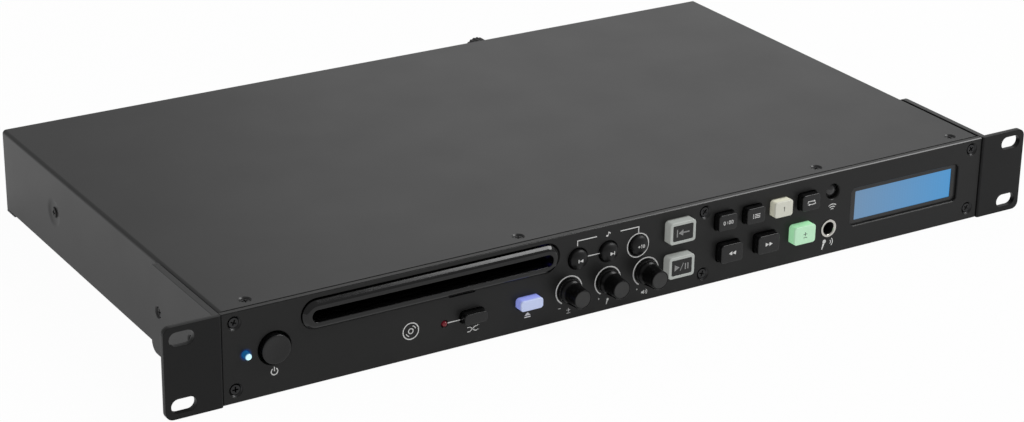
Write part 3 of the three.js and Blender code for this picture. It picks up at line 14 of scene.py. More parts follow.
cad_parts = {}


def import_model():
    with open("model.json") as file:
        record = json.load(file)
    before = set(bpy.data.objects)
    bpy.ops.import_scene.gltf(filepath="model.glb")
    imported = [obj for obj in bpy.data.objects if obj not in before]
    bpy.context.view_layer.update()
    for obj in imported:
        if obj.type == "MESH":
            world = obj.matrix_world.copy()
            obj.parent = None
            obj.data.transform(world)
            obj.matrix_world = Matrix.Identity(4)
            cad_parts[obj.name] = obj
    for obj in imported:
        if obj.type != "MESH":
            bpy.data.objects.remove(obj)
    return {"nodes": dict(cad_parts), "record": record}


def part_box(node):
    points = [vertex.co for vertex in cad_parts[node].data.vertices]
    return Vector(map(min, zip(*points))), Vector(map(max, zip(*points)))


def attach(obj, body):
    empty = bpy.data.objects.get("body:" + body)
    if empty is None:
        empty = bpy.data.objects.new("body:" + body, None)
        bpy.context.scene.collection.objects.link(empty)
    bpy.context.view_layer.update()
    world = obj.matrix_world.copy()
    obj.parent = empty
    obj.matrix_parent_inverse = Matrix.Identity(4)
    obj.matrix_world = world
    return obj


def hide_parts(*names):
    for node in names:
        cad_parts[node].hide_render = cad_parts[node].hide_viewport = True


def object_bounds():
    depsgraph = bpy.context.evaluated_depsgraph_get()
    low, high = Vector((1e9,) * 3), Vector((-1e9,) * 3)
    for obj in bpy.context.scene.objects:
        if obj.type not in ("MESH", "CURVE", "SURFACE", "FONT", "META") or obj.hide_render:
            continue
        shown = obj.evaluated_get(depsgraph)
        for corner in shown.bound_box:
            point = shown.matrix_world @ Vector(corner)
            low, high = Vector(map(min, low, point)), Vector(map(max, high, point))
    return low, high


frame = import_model()
cad_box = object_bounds()
scene = bpy.context.scene

MM = 0.001
to_metres = Matrix.Translation((0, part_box("front_panel")[0].y, 0)) @ Matrix.Scale(MM, 4)
to_millimetres = to_metres.inverted()


def span(node):
    """Lowest and highest corner of a node, in this script's millimetres."""
    low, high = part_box(node)
    return to_millimetres @ low, to_millimetres @ high


def middle(node):
    """Middle of a node across and up."""
    low, high = span(node)
    return (low.x + high.x) / 2, (low.z + high.z) / 2


def before(node):
    """The point of the front face that lies before a node's middle."""
    x, z = middle(node)
    return x, 0, z


# Shared sizes
GAP, INK, TINY, SHEET = 0.3, 0.02, 0.0005, 1.0
ROUND_STEPS, FINE_STEPS, SCREW_STEPS, CORNER_STEPS = 48, 64, 32, 8
SHARES = [k / 8 for k in range(9)]

# Fascia
panel_low, panel_high = span("front_panel")
PANEL_THICKNESS, FASCIA_EDGE = 3.0, 0.4
SCREW_SIDE, SCREW_LOW, SCREW_HIGH, SCREW_MIDDLE = 6.15, 6.3, 5.3, 41.45
screw_x = (panel_low.x + SCREW_SIDE, SCREW_MIDDLE, panel_high.x - SCREW_SIDE)
screw_z = (panel_low.z + SCREW_LOW, panel_high.z - SCREW_HIGH)
display_x, display_z = middle("display_window")
DISPLAY = Sizes(width=68.7, height=20.0, corner=2.5, setback=1.5, flange=1.0, edge=0.03)
SCREEN = Sizes(width=61.8, height=15.4, corner=0.4, deep=0.3, under=0.5, thickness=0.6)
NOTCH = Sizes(from_slot=14.7, width=13.6, height=1.2, deep=1.4, corner=0.3)

# Disc slot
slot_x, slot_z = middle("slot_bezel")
SLOT = Sizes(length=125.0, height=5.8, slope=1.7, border=4.1, proud=2.2, throat=14.0, lift=0.55, edge=0.2)

# Push buttons: width, height, reach and corner
BAR = Sizes(width=12.0, height=5.2, reach=4.3, corner=1.5)
SQUARE = Sizes(width=14.7, height=11.1, reach=4.0, corner=1.6)
SMALL = Sizes(width=10.6, height=8.2, reach=3.8, corner=1.3)
LARGE = Sizes(width=12.7, height=9.4, reach=4.3, corner=1.5)
SQUARE_FACE = Sizes(width=11.6, height=8.2, deep=0.35, corner=0.9, insert=0.08, fit=0.1, edge=0.05)
CAP_EDGE, CAP_CROWN, CROWN_INSET, LEAST_CORNER, CAP_BACK = 0.4, 0.05, 1.2, 0.25, 4.3
ROUND_CAP = Sizes(radius=4.8, shoulder=1.0, dome=2.4, hole=5.2)
POWER_CAP = Sizes(radius=7.0, reach=2.3, hole=7.9, dish=0.5, rim=1.1, edge=0.7)
KNOB = Sizes(base=6.0, neck=4.9, tip=4.6, reach=12.3, lift=0.6, skirt=3.0, edge=0.5, wall=0.35)
KNOB_TIP = Sizes(gap=0.1, deep=0.1, thickness=0.4, line=2.2, line_width=1.6, line_share=0.55)
KNOB_RIB = Sizes(low=6.0, tip=4.9, width=3.2, edge=0.35)
KNOB_SHAFT, KNOB_REST = 3.0, 255.0

# Lamps, sensor and microphone socket
LAMP = Sizes(radius=1.65, reach=3.6, hole=1.8)
DOT_LAMP = Sizes(radius=1.3, reach=0.9, hole=1.6)
LAMP_CROWN = 0.9
SENSOR = Sizes(radius=4.0, setback=0.7, crown=1.9, gap=0.1)
JACK = Sizes(nut=4.6, bore=3.2, proud=0.3, hole=4.5, depth=20.0, nut_deep=2.0, lip=0.5)

# Case
cover_low, cover_high = span("top_cover")
FOLD, LID_REACH, LID_EDGE = 2.0, 0.25, 0.12
COVER_SCREW_X, COVER_SCREW_Y = (-197.7, -58.1, 114.4, 199.8), 9.1
DIMPLE = Sizes(radius=8.0, floor=4.6, deep=0.7, y=188.0, z=22.5)
EAR = Sizes(thickness=3.0, bend=1.0, corner=3.8, flange_corner=5.0, edge=0.22)
RACK_SLOT = Sizes(inset=8.75, pitch=31.75, length=12.0, height=6.8)
EAR_SCREW_Y = (25.0, 59.0)

# Screws: a countersunk one with its hole, and a raised one
SCREW = Sizes(radius=2.35, height=1.5, shank=1.3, cross=1.5, arm=0.36, cross_deep=1.1)
SCREW_SINK = Sizes(radius=3.1, deep=0.65, panel_deep=1.05)
PAN = Sizes(radius=3.0, height=0.7, length=2.0)

# Sockets at the rear
INLET = Sizes(
    flange_width=50, flange_height=23, flange=2, corner=3, width=24.4, height=16.6, deep=16,
    mouth_corner=2.5, wall=1, pin_root=2, screw_x=20,
)
INLET_PIN = Sizes(gap=7.0, width=2.0, height=4.0, length=11.0, rise=4.0, corner=0.4)
XLR = Sizes(width=26, height=31, flange=1.8, corner=2.0, shell=11.2, bore=9.6, reach=2.6, deep=14)
XLR_PIN = Sizes(radius=1.2, circle=4.2, length=10.0, count=3, screw_x=9.5, screw_z=12.0)
PHONO = Sizes(barrel=4.15, bore=1.6, reach=9.0, plate=1.5, height=17.0, margin=5.5, deep=12.0)
SOCKET_HOLE, SOCKET_EDGE = 1.7, 0.25
FUSE = Sizes(
    cap=7.0, length=14.0, flange=8.4, flange_thickness=1.5, grip=0.4, grips=20,
    slot=7.0, slot_width=1.1, slot_deep=1.2,
)


# Outlines in X and Z
def around(steps):
    return [2 * pi * k / steps for k in range(steps)]


def quarter(steps=CORNER_STEPS):
    """Angles from zero to a right angle."""
    return [pi / 2 * k / steps for k in range(steps + 1)]


def polar(radius, turn, x=0.0, z=0.0):
    """The point at a distance and an angle from x and z."""
    return x + radius * cos(turn), z + radius * sin(turn)


def rounded(width, height, corner, x=0.0, z=0.0):
    """A rectangle with round corners, without points that repeat the one before."""
    w, h = width / 2 - corner, height / 2 - corner
    points = []
    for n, (right, up) in enumerate(((1, -1), (1, 1), (-1, 1), (-1, -1))):
        for k in range(CORNER_STEPS + 1):
            turn = (n - 1 + k / CORNER_STEPS) * pi / 2
            points.append(polar(corner, turn, x + right * w, z + up * h))
    return [p for p, q in zip(points, points[-1:] + points[:-1]) if dist(p, q) > TINY]


def circle(radius, x=0.0, z=0.0):
    return [polar(radius, turn, x, z) for turn in around(ROUND_STEPS)]


def hoop(radius, width, x=0.0, z=0.0):
    """A drawn circle: its outer and its inner outline."""
    return [circle(radius + width / 2, x, z), circle(radius - width / 2, x, z)]


def stroke(points, width, least_miter=0.4):
    """A drawn line of even width through the points."""
    points = [Vector(point) for point in points]
    normals = [Vector((a.y - b.y, b.x - a.x)).normalized() for a, b in zip(points, points[1:])]
    sides = ([], [])
    for point, one, other in zip(points, normals[:1] + normals, normals + normals[-1:]):
        across = (one + other).normalized()
        across *= width / 2 / max(across.dot(one), least_miter)
        sides[0].append(tuple(point + across))
        sides[1].append(tuple(point - across))
    return [sides[0] + sides[1][::-1]]


def arc(radius, width, start, end, x=0.0, z=0.0):
    """A drawn arc between two angles in degrees."""
    steps = max(6, round(abs(end - start) / 8))
    turns = [radians(start + (end - start) * k / steps) for k in range(steps + 1)]
    return stroke([polar(radius, turn, x, z) for turn in turns], width)


def waves(radii, width, start, end, x=0.0, z=0.0):
    return [arc(radius, width, start, end, x, z)[0] for radius in radii]


def block(x, z, width, height):
    """A filled rectangle about its middle."""
    x0, x1, z0, z1 = x - width / 2, x + width / 2, z - height / 2, z + height / 2
    return [[(x0, z0), (x1, z0), (x1, z1), (x0, z1)]]


def wedge(x, z, length, height, way=1):
    """A filled triangle that points right, or left when way is -1, with its middle at x and z."""
    back, tip = x - way * length / 2, x + way * length / 2
    return [[(back, z - height / 2), (tip, z), (back, z + height / 2)]]


def peak(x, z, width, height):
    """A filled triangle that points up, with the middle of its foot at x and z."""
    return [[(x - width / 2, z), (x + width / 2, z), (x, z + height)]]


def plus(x, z, width, line, stem, start, end):
    """A plus sign: a bar, and above and below it a stem from start to end off its middle."""
    stems = [block(x, z + way * (start + end) / 2, stem, end - start)[0] for way in (-1, 1)]
    return block(x, z, width, line) + stems


def shifted(loops, x, z, scale=1.0):
    return [[(x + scale * px, z + scale * pz) for px, pz in loop] for loop in loops]


# Solids
def linked(name, data):
    made = bpy.data.objects.new(name, data)
    scene.collection.objects.link(made)
    return made


def at(place):
    return Matrix.Translation(place)


def turned(degrees, axis):
    return Matrix.Rotation(radians(degrees), 4, axis)


def skin(loops, ends=True):
    """A closed shape over a row of loops. Without ends, the last loop is joined to the first."""
    shape = bmesh.new()
    rows = [[shape.verts.new(point) for point in loop] for loop in loops]
    for low, high in zip(rows, rows[1:] + ([] if ends else rows[:1])):
        for k, vertex in enumerate(low):
            m = (k + 1) % len(low)
            shape.faces.new((vertex, low[m], high[m], high[k]))
    if ends:
        shape.faces.new(rows[0][::-1])
        shape.faces.new(rows[-1])
    return tidy(shape)


def stacked(levels):
    """A closed shape over outlines in X and Z, each with its Y."""
    return skin([[(x, y, z) for x, z in outline] for outline, y in levels])


def tidy(shape):
    bmesh.ops.remove_doubles(shape, verts=shape.verts, dist=TINY)
    bmesh.ops.recalc_face_normals(shape, faces=shape.faces)
    return shape


def softened(points):
    """Points of a profile in which each [a, b, radius] corner is rounded."""
    places = [Vector(point[:2]) for point in points]
    result = places[:1]
    for back, here, ahead, (_, _, radius) in zip(places, places[1:], places[2:], points[1:]):
        back, ahead = back - here, ahead - here
        reach = min(radius, back.length / 2, ahead.length / 2)
        start, end = here + back.normalized() * reach, here + ahead.normalized() * reach
        for k in range(CORNER_STEPS + 1 if radius else 1):
            t = k / CORNER_STEPS
            result.append(start * (1 - t) ** 2 + here * 2 * t * (1 - t) + end * t ** 2)
    return result + places[-1:]


def lathe(profile, centre=(0, 0, 0), axis="y", steps=ROUND_STEPS):
    """A profile of [radius, height, corner] turned about an axis: from axis to axis, or else a ring."""
    loops = []
    for radius, height in softened(profile):
        loop = []
        for turn in around(steps):
            u, v = polar(radius, turn)
            loop.append(Vector(centre) + Vector((height, u, v) if axis == "x" else (u, height, v)))
        loops.append(loop)
    return skin(loops, ends=profile[0][0] == 0)


def drum(radius, near, far, place, edges=(0, 0), steps=ROUND_STEPS):
    """A round piece along Y, with the corner at its near and its far end."""
    profile = [(0, near, 0), (radius, near, edges[0]), (radius, far, edges[1]), (0, far, 0)]
    return lathe(profile, place, steps=steps)


def domed(face, place, back=CAP_BACK, steps=ROUND_STEPS):
    """A round piece along Y with a shaped face of [radius, y, corner], closed at its back."""
    radius = face[-1][0]
    return lathe(face + [(radius, back, 0), (0, back, 0)], place, steps=steps)


def slab(width, height, corner, place, near, far, edge=0.0):
    """A rectangular plate with round corners and no holes."""
    return plate([rounded(width, height, corner, *place)], near, far, edge)


def plate(loops, near, far, edge=0.0, rounding=1):
    """A flat piece between two values of Y, from an outline and holes. Rounding 0 chamfers its edges."""
    curve = bpy.data.curves.new("plate", "CURVE")
    curve.dimensions, curve.fill_mode = "2D", "BOTH"
    curve.extrude = (far - near) / 2 - edge
    curve.bevel_depth, curve.bevel_resolution, curve.offset = edge, rounding, -edge
    for loop in loops:
        spline = curve.splines.new("POLY")
        spline.points.add(len(loop) - 1)
        spline.use_cyclic_u = True
        for point, (x, z) in zip(spline.points, loop):
            point.co = (x, z, 0, 1)
    holder = linked("plate", curve)
    flat = bpy.data.meshes.new_from_object(holder.evaluated_get(bpy.context.evaluated_depsgraph_get()))
    shape = bmesh.new()
    shape.from_mesh(flat)
    bpy.data.objects.remove(holder)
    bpy.data.curves.remove(curve)
    bpy.data.meshes.remove(flat)
    shape.transform(at((0, (near + far) / 2, 0)) @ turned(90, "X"))
    return tidy(shape)


def merged(shapes):
    """Several shapes in one, as they are."""
    whole = bmesh.new()
    for shape in shapes:
        spare = bpy.data.meshes.new("spare")
        shape.to_mesh(spare)
        whole.from_mesh(spare)
        bpy.data.meshes.remove(spare)
    return whole


def moved(shape, matrix):
    copy = shape.copy()
    copy.transform(matrix)
    return copy


def placed(shape, place):
    return moved(shape, at(place))


def holder_of(shape):
    data = bpy.data.meshes.new("holder")
    shape.to_mesh(data)
    return linked("holder", data)


def discard(holder):
    data = holder.data
    bpy.data.objects.remove(holder)
    bpy.data.meshes.remove(data)


def modified(shape, kind, **settings):
    holder = holder_of(shape)
    modifier = holder.modifiers.new("change", kind)
    for key, value in settings.items():
        setattr(modifier, key, value)
    result = bmesh.new()
    result.from_object(holder, bpy.context.evaluated_depsgraph_get())
    discard(holder)
    return result


def carved(shape, tool, operation="DIFFERENCE"):
    """A shape with a tool cut out of it, joined to it or crossed with it."""
    helper = holder_of(tool)
    result = modified(shape, "BOOLEAN", operation=operation, solver="EXACT", object=helper)
    discard(helper)
    return tidy(result)


def bevelled(shape, width):
    """A shape whose sharp edges are rounded."""
    limit = radians(40)
    return modified(shape, "BEVEL", width=width, segments=2, limit_method="ANGLE", angle_limit=limit)


def finished(name, shape, slot, replaced=(), finish=None, body="case", smooth=20):
    """A shape as a piece that rides on a body. Its finish is that of its slot unless another is named."""
    shape.transform(to_metres)
    data = bpy.data.meshes.new(name)
    shape.to_mesh(data)
    shape.free()
    data.shade_smooth()
    data.set_sharp_from_angle(angle=radians(smooth))
    data.materials.append(finishes[finish or slot])
    piece = linked(name, data)
    piece.modifiers.new("weighted", "WEIGHTED_NORMAL").keep_sharp = True
    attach(piece, body)
    if replaced:
        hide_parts(*replaced)


# Materials
def give(socket, value):
    """A number, a point, a colour or another node's output for one input of a node."""
    if isinstance(value, bpy.types.NodeSocket):
        value.id_data.links.new(value, socket)
    elif socket.type == "RGBA":
        socket.default_value = (*value, 1)
    else:
        socket.default_value = value


class Finish:
    """A material made of one surface shader, with short calls for what feeds it."""

    def __init__(self, name, color, roughness, metallic=0.0, ior=1.45):
        self.name, self.color = name, color
        self.material = bpy.data.materials.new(name)
        self.material.use_nodes = True
        self.nodes = self.material.node_tree.nodes
        self.shader = self.nodes["Principled BSDF"]
        self.place = self.nodes.new("ShaderNodeTexCoord").outputs["Object"]
        self.put("Base Color", color).put("Roughness", roughness).put("Metallic", metallic).put("IOR", ior)

    def put(self, socket, value):
        give(self.shader.inputs[socket], value)
        return self

    def add(self, kind, **values):
        """A node with its settings, and with its inputs by name."""
        node = self.nodes.new(kind)
        for key, value in values.items():
            if hasattr(node, key):
                setattr(node, key, value)
            else:
                give(node.inputs[key.replace("_", " ")], value)
        return node

    def worked(self, operation, *values, kind="ShaderNodeMath"):
        """The output of a sum on numbers, points and other nodes' outputs."""
        node = self.add(kind, operation=operation)
        for socket, value in zip(node.inputs, values):
            give(socket, value)
        return node.outputs["Value"]

    def noise(self, size, detail=2.0, stretch=(1, 1, 1)):
        """Noise whose marks are about the given millimetres across."""
        mapping = self.add("ShaderNodeMapping", Vector=self.place, Scale=stretch).outputs["Vector"]
        node = self.add("ShaderNodeTexNoise", Vector=mapping, Scale=1 / (size * MM), Detail=detail)
        return node.outputs["Fac"]

    def ranged(self, value, low, high, start=0.3, end=0.7):
        """A value between start and end turned into one between low and high."""
        limits = {"From Min": start, "From Max": end, "To Min": low, "To Max": high}
        node = self.add("ShaderNodeMapRange", Value=value, **limits)
        return node.outputs["Result"]

    def mixed(self, factor, first, second, blend="MIX"):
        node = self.add("ShaderNodeMix", data_type="RGBA", blend_type=blend, Factor=factor)
        for socket, value in zip([s for s in node.inputs if s.type == "RGBA"], (first, second)):
            give(socket, value)
        return [s for s in node.outputs if s.type == "RGBA"][0]

    def grain(self, size, height, detail=2.0, stretch=(1, 1, 1)):
        """Fine relief: marks of a size across and a height deep, in millimetres."""
        noise = self.noise(size, detail, stretch)
        node = self.add("ShaderNodeBump", Strength=1.0, Distance=height * MM, Height=noise)
        return self.put("Normal", node.outputs["Normal"])

    def worn(self, size, change, low, high, detail=3.0, gloss_share=0.6):
        """Uneven colour and gloss: marks of a size, a share of colour change and two limits of roughness."""
        darker = tuple(c * (1 - change) for c in self.color)
        lighter = tuple(min(1, c * (1 + change)) for c in self.color)
        self.put("Base Color", self.mixed(self.ranged(self.noise(size, detail), 0, 1), darker, lighter))
        return self.put("Roughness", self.ranged(self.noise(size * gloss_share, detail), low, high))

    def axis(self, letter):
        """One coordinate, in this script's millimetres."""
        split = self.add("ShaderNodeSeparateXYZ", Vector=self.place)
        offset = to_millimetres.translation["XYZ".index(letter)]
        return self.worked("MULTIPLY_ADD", split.outputs[letter], 1 / MM, offset)

    def along(self, letter, start, end, first, second):
        """A colour at one value of a coordinate that turns into another at a second."""
        return self.mixed(self.ranged(self.axis(letter), 0, 1, start, end), first, second)

    def nearness(self, point, reach, fall=2.5):
        """One at a point, falling softly to zero at the reach, in millimetres."""
        centre = to_metres @ Vector(point)
        distance = self.worked("DISTANCE", self.place, centre, kind="ShaderNodeVectorMath")
        return self.worked("POWER", self.ranged(distance, 1, 0, 0, reach * MM), fall)

    def glow(self, color, strength):
        return self.put("Emission Color", color).put("Emission Strength", strength)


def paint(name, color, low, high, ior=1.4):
    return Finish(name, color, low, ior=ior).worn(60, 0.04, low, high).grain(0.5, 0.004)


def metal(name, color, low, high, size=0.3, stretch=(1, 1, 1)):
    return Finish(name, color, low, metallic=1.0).worn(6, 0.06, low, high).grain(size, 0.002, 2.0, stretch)


def moulded(name, color, low, high, size=0.25, height=0.004, ior=1.45):
    return Finish(name, color, low, ior=ior).worn(8, 0.08, low, high).grain(size, height)


def printed(name, color):
    return Finish(name, color, 0.5).worn(2, 0.05, 0.45, 0.55).grain(0.2, 0.002)


def ear_finish():
    """Satin paint, duller on the front face than on the flange."""
    finish = paint("ear_paint", (0.0132, 0.0132, 0.0134), 0.36, 0.4)
    return finish.put("IOR", finish.ranged(finish.axis("Y"), 1.27, 1.5, 0.2, 1.4))


def panel_finish():
    """Satin paint, smooth on the upper chamfer and painted darker there as shade, with the power lamp's glow
    painted round the lamp.
    """
    face, edge, step = (0.014, 0.014, 0.0138), (0.0025, 0.0025, 0.0026), 0.02
    finish = Finish("panel_paint", face, 0.38).grain(0.5, 0.004)
    foot = panel_high.z - FASCIA_EDGE
    near = finish.ranged(finish.axis("Y"), 1, 0, FASCIA_EDGE - step, FASCIA_EDGE)
    above = finish.ranged(finish.axis("Z"), 0, 1, foot - step, foot)
    # Painted shade: the upper chamfer takes the darker edge colour instead of the face colour, and is also
    # made smoother.
    chamfer = finish.worked("MULTIPLY", near, above)
    finish.put("Base Color", finish.mixed(chamfer, face, edge))
    finish.put("Roughness", finish.ranged(chamfer, 0.38, 0.14, 0, 1))
    finish.put("IOR", finish.ranged(above, 1.33, 1.44, 0, 1))
    # Painted light: the power lamp's blue glow on the panel, as emission that fades to nothing 3.6 mm from
    # the front of the lamp.
    return finish.glow((0.02, 0.22, 1.0), finish.nearness(before("power_led"), 3.6))


def bezel_finish():
    """Glossy moulding, with a violet glow painted inside its right end."""
    finish = moulded("gloss_black", (0.0035, 0.0035, 0.0036), 0.1, 0.13, size=0.8, height=0.0004)
    end = (slot_x + SLOT.length / 2 - 4, 4.0, slot_z + SLOT.height / 2)
    # Painted light: violet emission on the moulding, fading over 6 mm from a point inside the slot's right
    # end.
    return finish.glow((0.06, 0.03, 0.8), finish.nearness(end, 6.0))


def screen_finish():
    """Lit panel of an empty display: greyer at the left, brighter at the right, with a faint grid."""
    finish = Finish("screen", (0.02, 0.04, 0.06), 0.12)
    half = SCREEN.width / 2
    left, right = (0.147, 0.273, 0.449), (0.056, 0.299, 0.64)
    tone = finish.along("X", display_x - half, display_x + half, left, right)
    upright = finish.add("ShaderNodeMapping", Vector=finish.place, Rotation=(pi / 2, 0, 0))
    cells = finish.add(
        "ShaderNodeTexBrick", offset=0.0, Vector=upright.outputs["Vector"], Scale=1 / (3.3 * MM),
        Mortar_Size=0.04, Color1=(1, 1, 1), Color2=(1, 1, 1), Mortar=(0.94, 0.94, 0.94),
    )
    return finish.glow(finish.mixed(1.0, tone, cells.outputs["Color"], "MULTIPLY"), 0.85)


def glowing_cap(name, face, side, reach, strength):
    """Translucent cap that glows, its sides in a deeper colour than its face. The violet and green caps have
    a lamp behind them; the white cap's glow is painted light.
    """
    finish = moulded(name, face, 0.35, 0.45)
    tone = finish.along("Y", 0.15 - reach, 1.6 - reach, face, side)
    return finish.put("Base Color", tone).glow(tone, strength)


def lamp_finish(name, core, rim, reach, strength):
    finish = Finish(name, rim, 0.15)
    return finish.glow(finish.along("Y", 0.45 - reach, 1.15 - reach, core, rim), strength)


finishes = {finish.name: finish.material for finish in (
    paint("cover_paint", (0.0125, 0.0125, 0.0127), 0.36, 0.39, ior=1.5),
    panel_finish(),
    ear_finish(),
    metal("zinc_steel", (0.42, 0.43, 0.44), 0.35, 0.5, size=1.5, stretch=(1, 8, 1)),
    bezel_finish(),
    moulded("smoked_window", (0.026, 0.026, 0.026), 0.3, 0.36),
    screen_finish(),
    Finish("circuit_board", (0.012, 0.08, 0.03), 0.35).worn(5, 0.3, 0.3, 0.5).grain(0.8, 0.01),
    moulded("black_cap", (0.0045, 0.0045, 0.0047), 0.24, 0.28, height=0.001),
    # Painted light: the white caps glow with no lamp behind them.
    glowing_cap("white_cap", (0.62, 0.62, 0.54), (0.8, 0.79, 0.64), SMALL.reach, 0.25),
    glowing_cap("violet_cap", (0.46, 0.52, 0.73), (0.3, 0.35, 0.85), BAR.reach, 0.45),
    glowing_cap("green_cap", (0.39, 0.62, 0.43), (0.36, 0.74, 0.42), LARGE.reach, 0.55),
    # Painted light: the grey caps glow faintly with no lamp behind them, which makes them look lighter.
    moulded("grey_cap", (0.35, 0.375, 0.36), 0.34, 0.4).glow((0.5, 0.51, 0.48), 0.3),
    moulded("knob_black", (0.004, 0.004, 0.0041), 0.26, 0.34, height=0.002, ior=1.3),
    moulded("knob_tip", (0.043, 0.043, 0.0425), 0.4, 0.5, ior=1.35),
    lamp_finish("blue_lamp", (0.6, 0.9, 0.95), (0.005, 0.06, 0.15), LAMP.reach, 1.15),
    lamp_finish("red_lamp", (0.16, 0.012, 0.018), (0.08, 0.005, 0.01), DOT_LAMP.reach, 0.5),
    metal("nickel", (0.62, 0.6, 0.56), 0.16, 0.28),
    metal("steel", (0.45, 0.46, 0.48), 0.22, 0.35),
    metal("tin", (0.5, 0.51, 0.52), 0.25, 0.4),
    moulded("rubber", (0.02, 0.02, 0.022), 0.7, 0.85, size=0.15, height=0.01),
    moulded("white_gear", (0.72, 0.7, 0.64), 0.35, 0.45),
    moulded("drive_black", (0.014, 0.014, 0.015), 0.45, 0.55),
    Finish("copper", (0.5, 0.2, 0.08), 0.3, metallic=0.6).worn(3, 0.2, 0.25, 0.4).grain(0.5, 0.05, 1.0),
    metal("screw_black", (0.045, 0.045, 0.046), 0.28, 0.4),
    printed("white_print", (0.85, 0.85, 0.84)),
    printed("grey_print", (0.32, 0.32, 0.32)),
    printed("dark_print", (0.03, 0.033, 0.033)),
    moulded("round_black", (0.006, 0.006, 0.0062), 0.42, 0.48, ior=1.38),
    moulded("sensor_glass", (0.02, 0.02, 0.021), 0.2, 0.26, height=0.001, ior=1.6),
)}

# CAD nodes take the finish of their slot
slots = {subpart["node"]: subpart["material_slot"] for subpart in frame["record"]["subparts"]}
for name, slot in slots.items():
    node = frame["nodes"][name]
    node.data.materials.clear()
    node.data.materials.append(finishes[slot])


# Screws
def cross_tool(levels):
    """What cuts a cross recess, at each [share of its size, y]."""
    arm, reach = SCREW.arm, SCREW.cross
    outline, corners = [], [(reach, -arm), (reach, arm), (arm, arm)]
    for _ in range(4):
        outline += corners
        corners = [(-z, x) for x, z in corners]
    return stacked((shifted([outline], 0, 0, share)[0], y) for share, y in levels)


def sunk_screw():
    """A countersunk cross-head screw that goes in along Y, with its face at zero."""
    radius, height, shank = SCREW.radius, SCREW.height, SCREW.shank
    head = lathe([
        (0, 0, 0), (radius, 0, 0.2), (radius - 0.1, 0.3, 0.1), (shank, height, 0), (shank, 2 * height, 0),
        (0, 2 * height, 0),
    ], steps=SCREW_STEPS)
    return carved(head, cross_tool(((1.05, -0.3), (1.0, 0.0), (0.45, SCREW.cross_deep))))


def pan_screw():
    """A cross-head screw with a raised round head, its underside at zero, that goes in along Y."""
    radius, height, shank = PAN.radius, PAN.height, SCREW.shank
    head = lathe([
        (0, -height, 0), (radius * 0.8, -height * 0.9, 0.4), (radius, 0, 0.1), (shank, 0, 0),
        (shank, PAN.length, 0), (0, PAN.length, 0),
    ], steps=SCREW_STEPS)
    return carved(head, cross_tool(((1.0, -1.5), (1.0, 0.2))))


screw = sunk_screw()
into_top = turned(-90, "X")


def screws_at(places, turn=Matrix.Identity(4)):
    """Copies of the screw at [place, degrees about its own axis], first turned to face a way."""
    return merged(
        moved(screw, at(place) @ turn @ turned(degrees, "Y")) for place, degrees in places
    )


def sink_shape(through):
    """The hole for a countersunk screw, along Y."""
    radius, deep = SCREW_SINK.radius, SCREW_SINK.deep
    narrow = radius - deep
    return lathe([
        (0, -1, 0), (radius, -1, 0), (radius, 0, 0), (narrow, deep, 0), (narrow, through, 0), (0, through, 0),
    ], steps=SCREW_STEPS)


# Fascia
def panel_outlines():
    """The fascia's own outline, then its openings."""
    width, height = panel_high.x - panel_low.x + GAP, panel_high.z - panel_low.z
    loops = [rounded(width, height, FASCIA_EDGE, 0, (panel_low.z + panel_high.z) / 2)]
    for node, size in caps.items():
        wide, tall = size.width + 2 * GAP, size.height + 2 * GAP
        loops.append(rounded(wide, tall, size.corner + GAP, *middle(node)))
    loops += [circle(ROUND_CAP.hole, *middle(node)) for node in round_caps]
    loops += [circle(KNOB_SHAFT + GAP, *middle(name + "_potentiometer")) for name in knobs]
    for node, radius in (
        ("power_button", POWER_CAP.hole), ("power_led", LAMP.hole), ("shuffle_led", DOT_LAMP.hole),
        ("sensor_lens", SENSOR.radius), ("mic_jack", JACK.hole),
    ):
        loops.append(circle(radius, *middle(node)))
    loops.append(rounded(DISPLAY.width, DISPLAY.height, DISPLAY.corner, display_x, display_z))
    wide = SLOT.length + 2 * (SLOT.border + GAP)
    tall = SLOT.height + 2 * SLOT.border + GAP
    loops.append(rounded(wide, tall, tall / 2, slot_x, slot_z + SLOT.lift))
    return loops + [circle(SCREW_SINK.radius, x, z) for x in screw_x for z in screw_z]


def notch_tool(shift, near):
    """What cuts the notch under the slot, shifted up or down."""
    z = slot_z - SLOT.height / 2 - SLOT.border + shift
    x = slot_x + NOTCH.from_slot
    return slab(NOTCH.width, NOTCH.height + GAP, NOTCH.corner, (x, z), near, NOTCH.deep)


def fascia():
    """Panel with a chamfered edge, the dark cones that its screws sit in, and the screws."""
    shape = plate(panel_outlines(), 0, PANEL_THICKNESS, FASCIA_EDGE, 0)
    finished("fascia", carved(shape, notch_tool(GAP / 2, -1)), "panel_paint", ["front_panel"])
    radius, deep = SCREW_SINK.radius, SCREW_SINK.panel_deep
    cone = lathe([
        (radius, FASCIA_EDGE, 0), (radius - deep, FASCIA_EDGE + deep, 0), (radius - deep, PANEL_THICKNESS, 0),
        (radius, PANEL_THICKNESS, 0),
    ], steps=SCREW_STEPS)
    cones = merged(placed(cone, (x, 0, z)) for x in screw_x for z in screw_z)
    finished("fascia_sinks", cones, "panel_paint", finish="screw_black")
    places = [(n, x, m, z) for n, x in enumerate(screw_x) for m, z in enumerate(screw_z)]
    screws = screws_at([((x, SCREW_SINK.deep, z), 17 * n + 23 * m) for n, x, m, z in places])
    finished("fascia_screws", screws, "panel_paint", finish="screw_black")


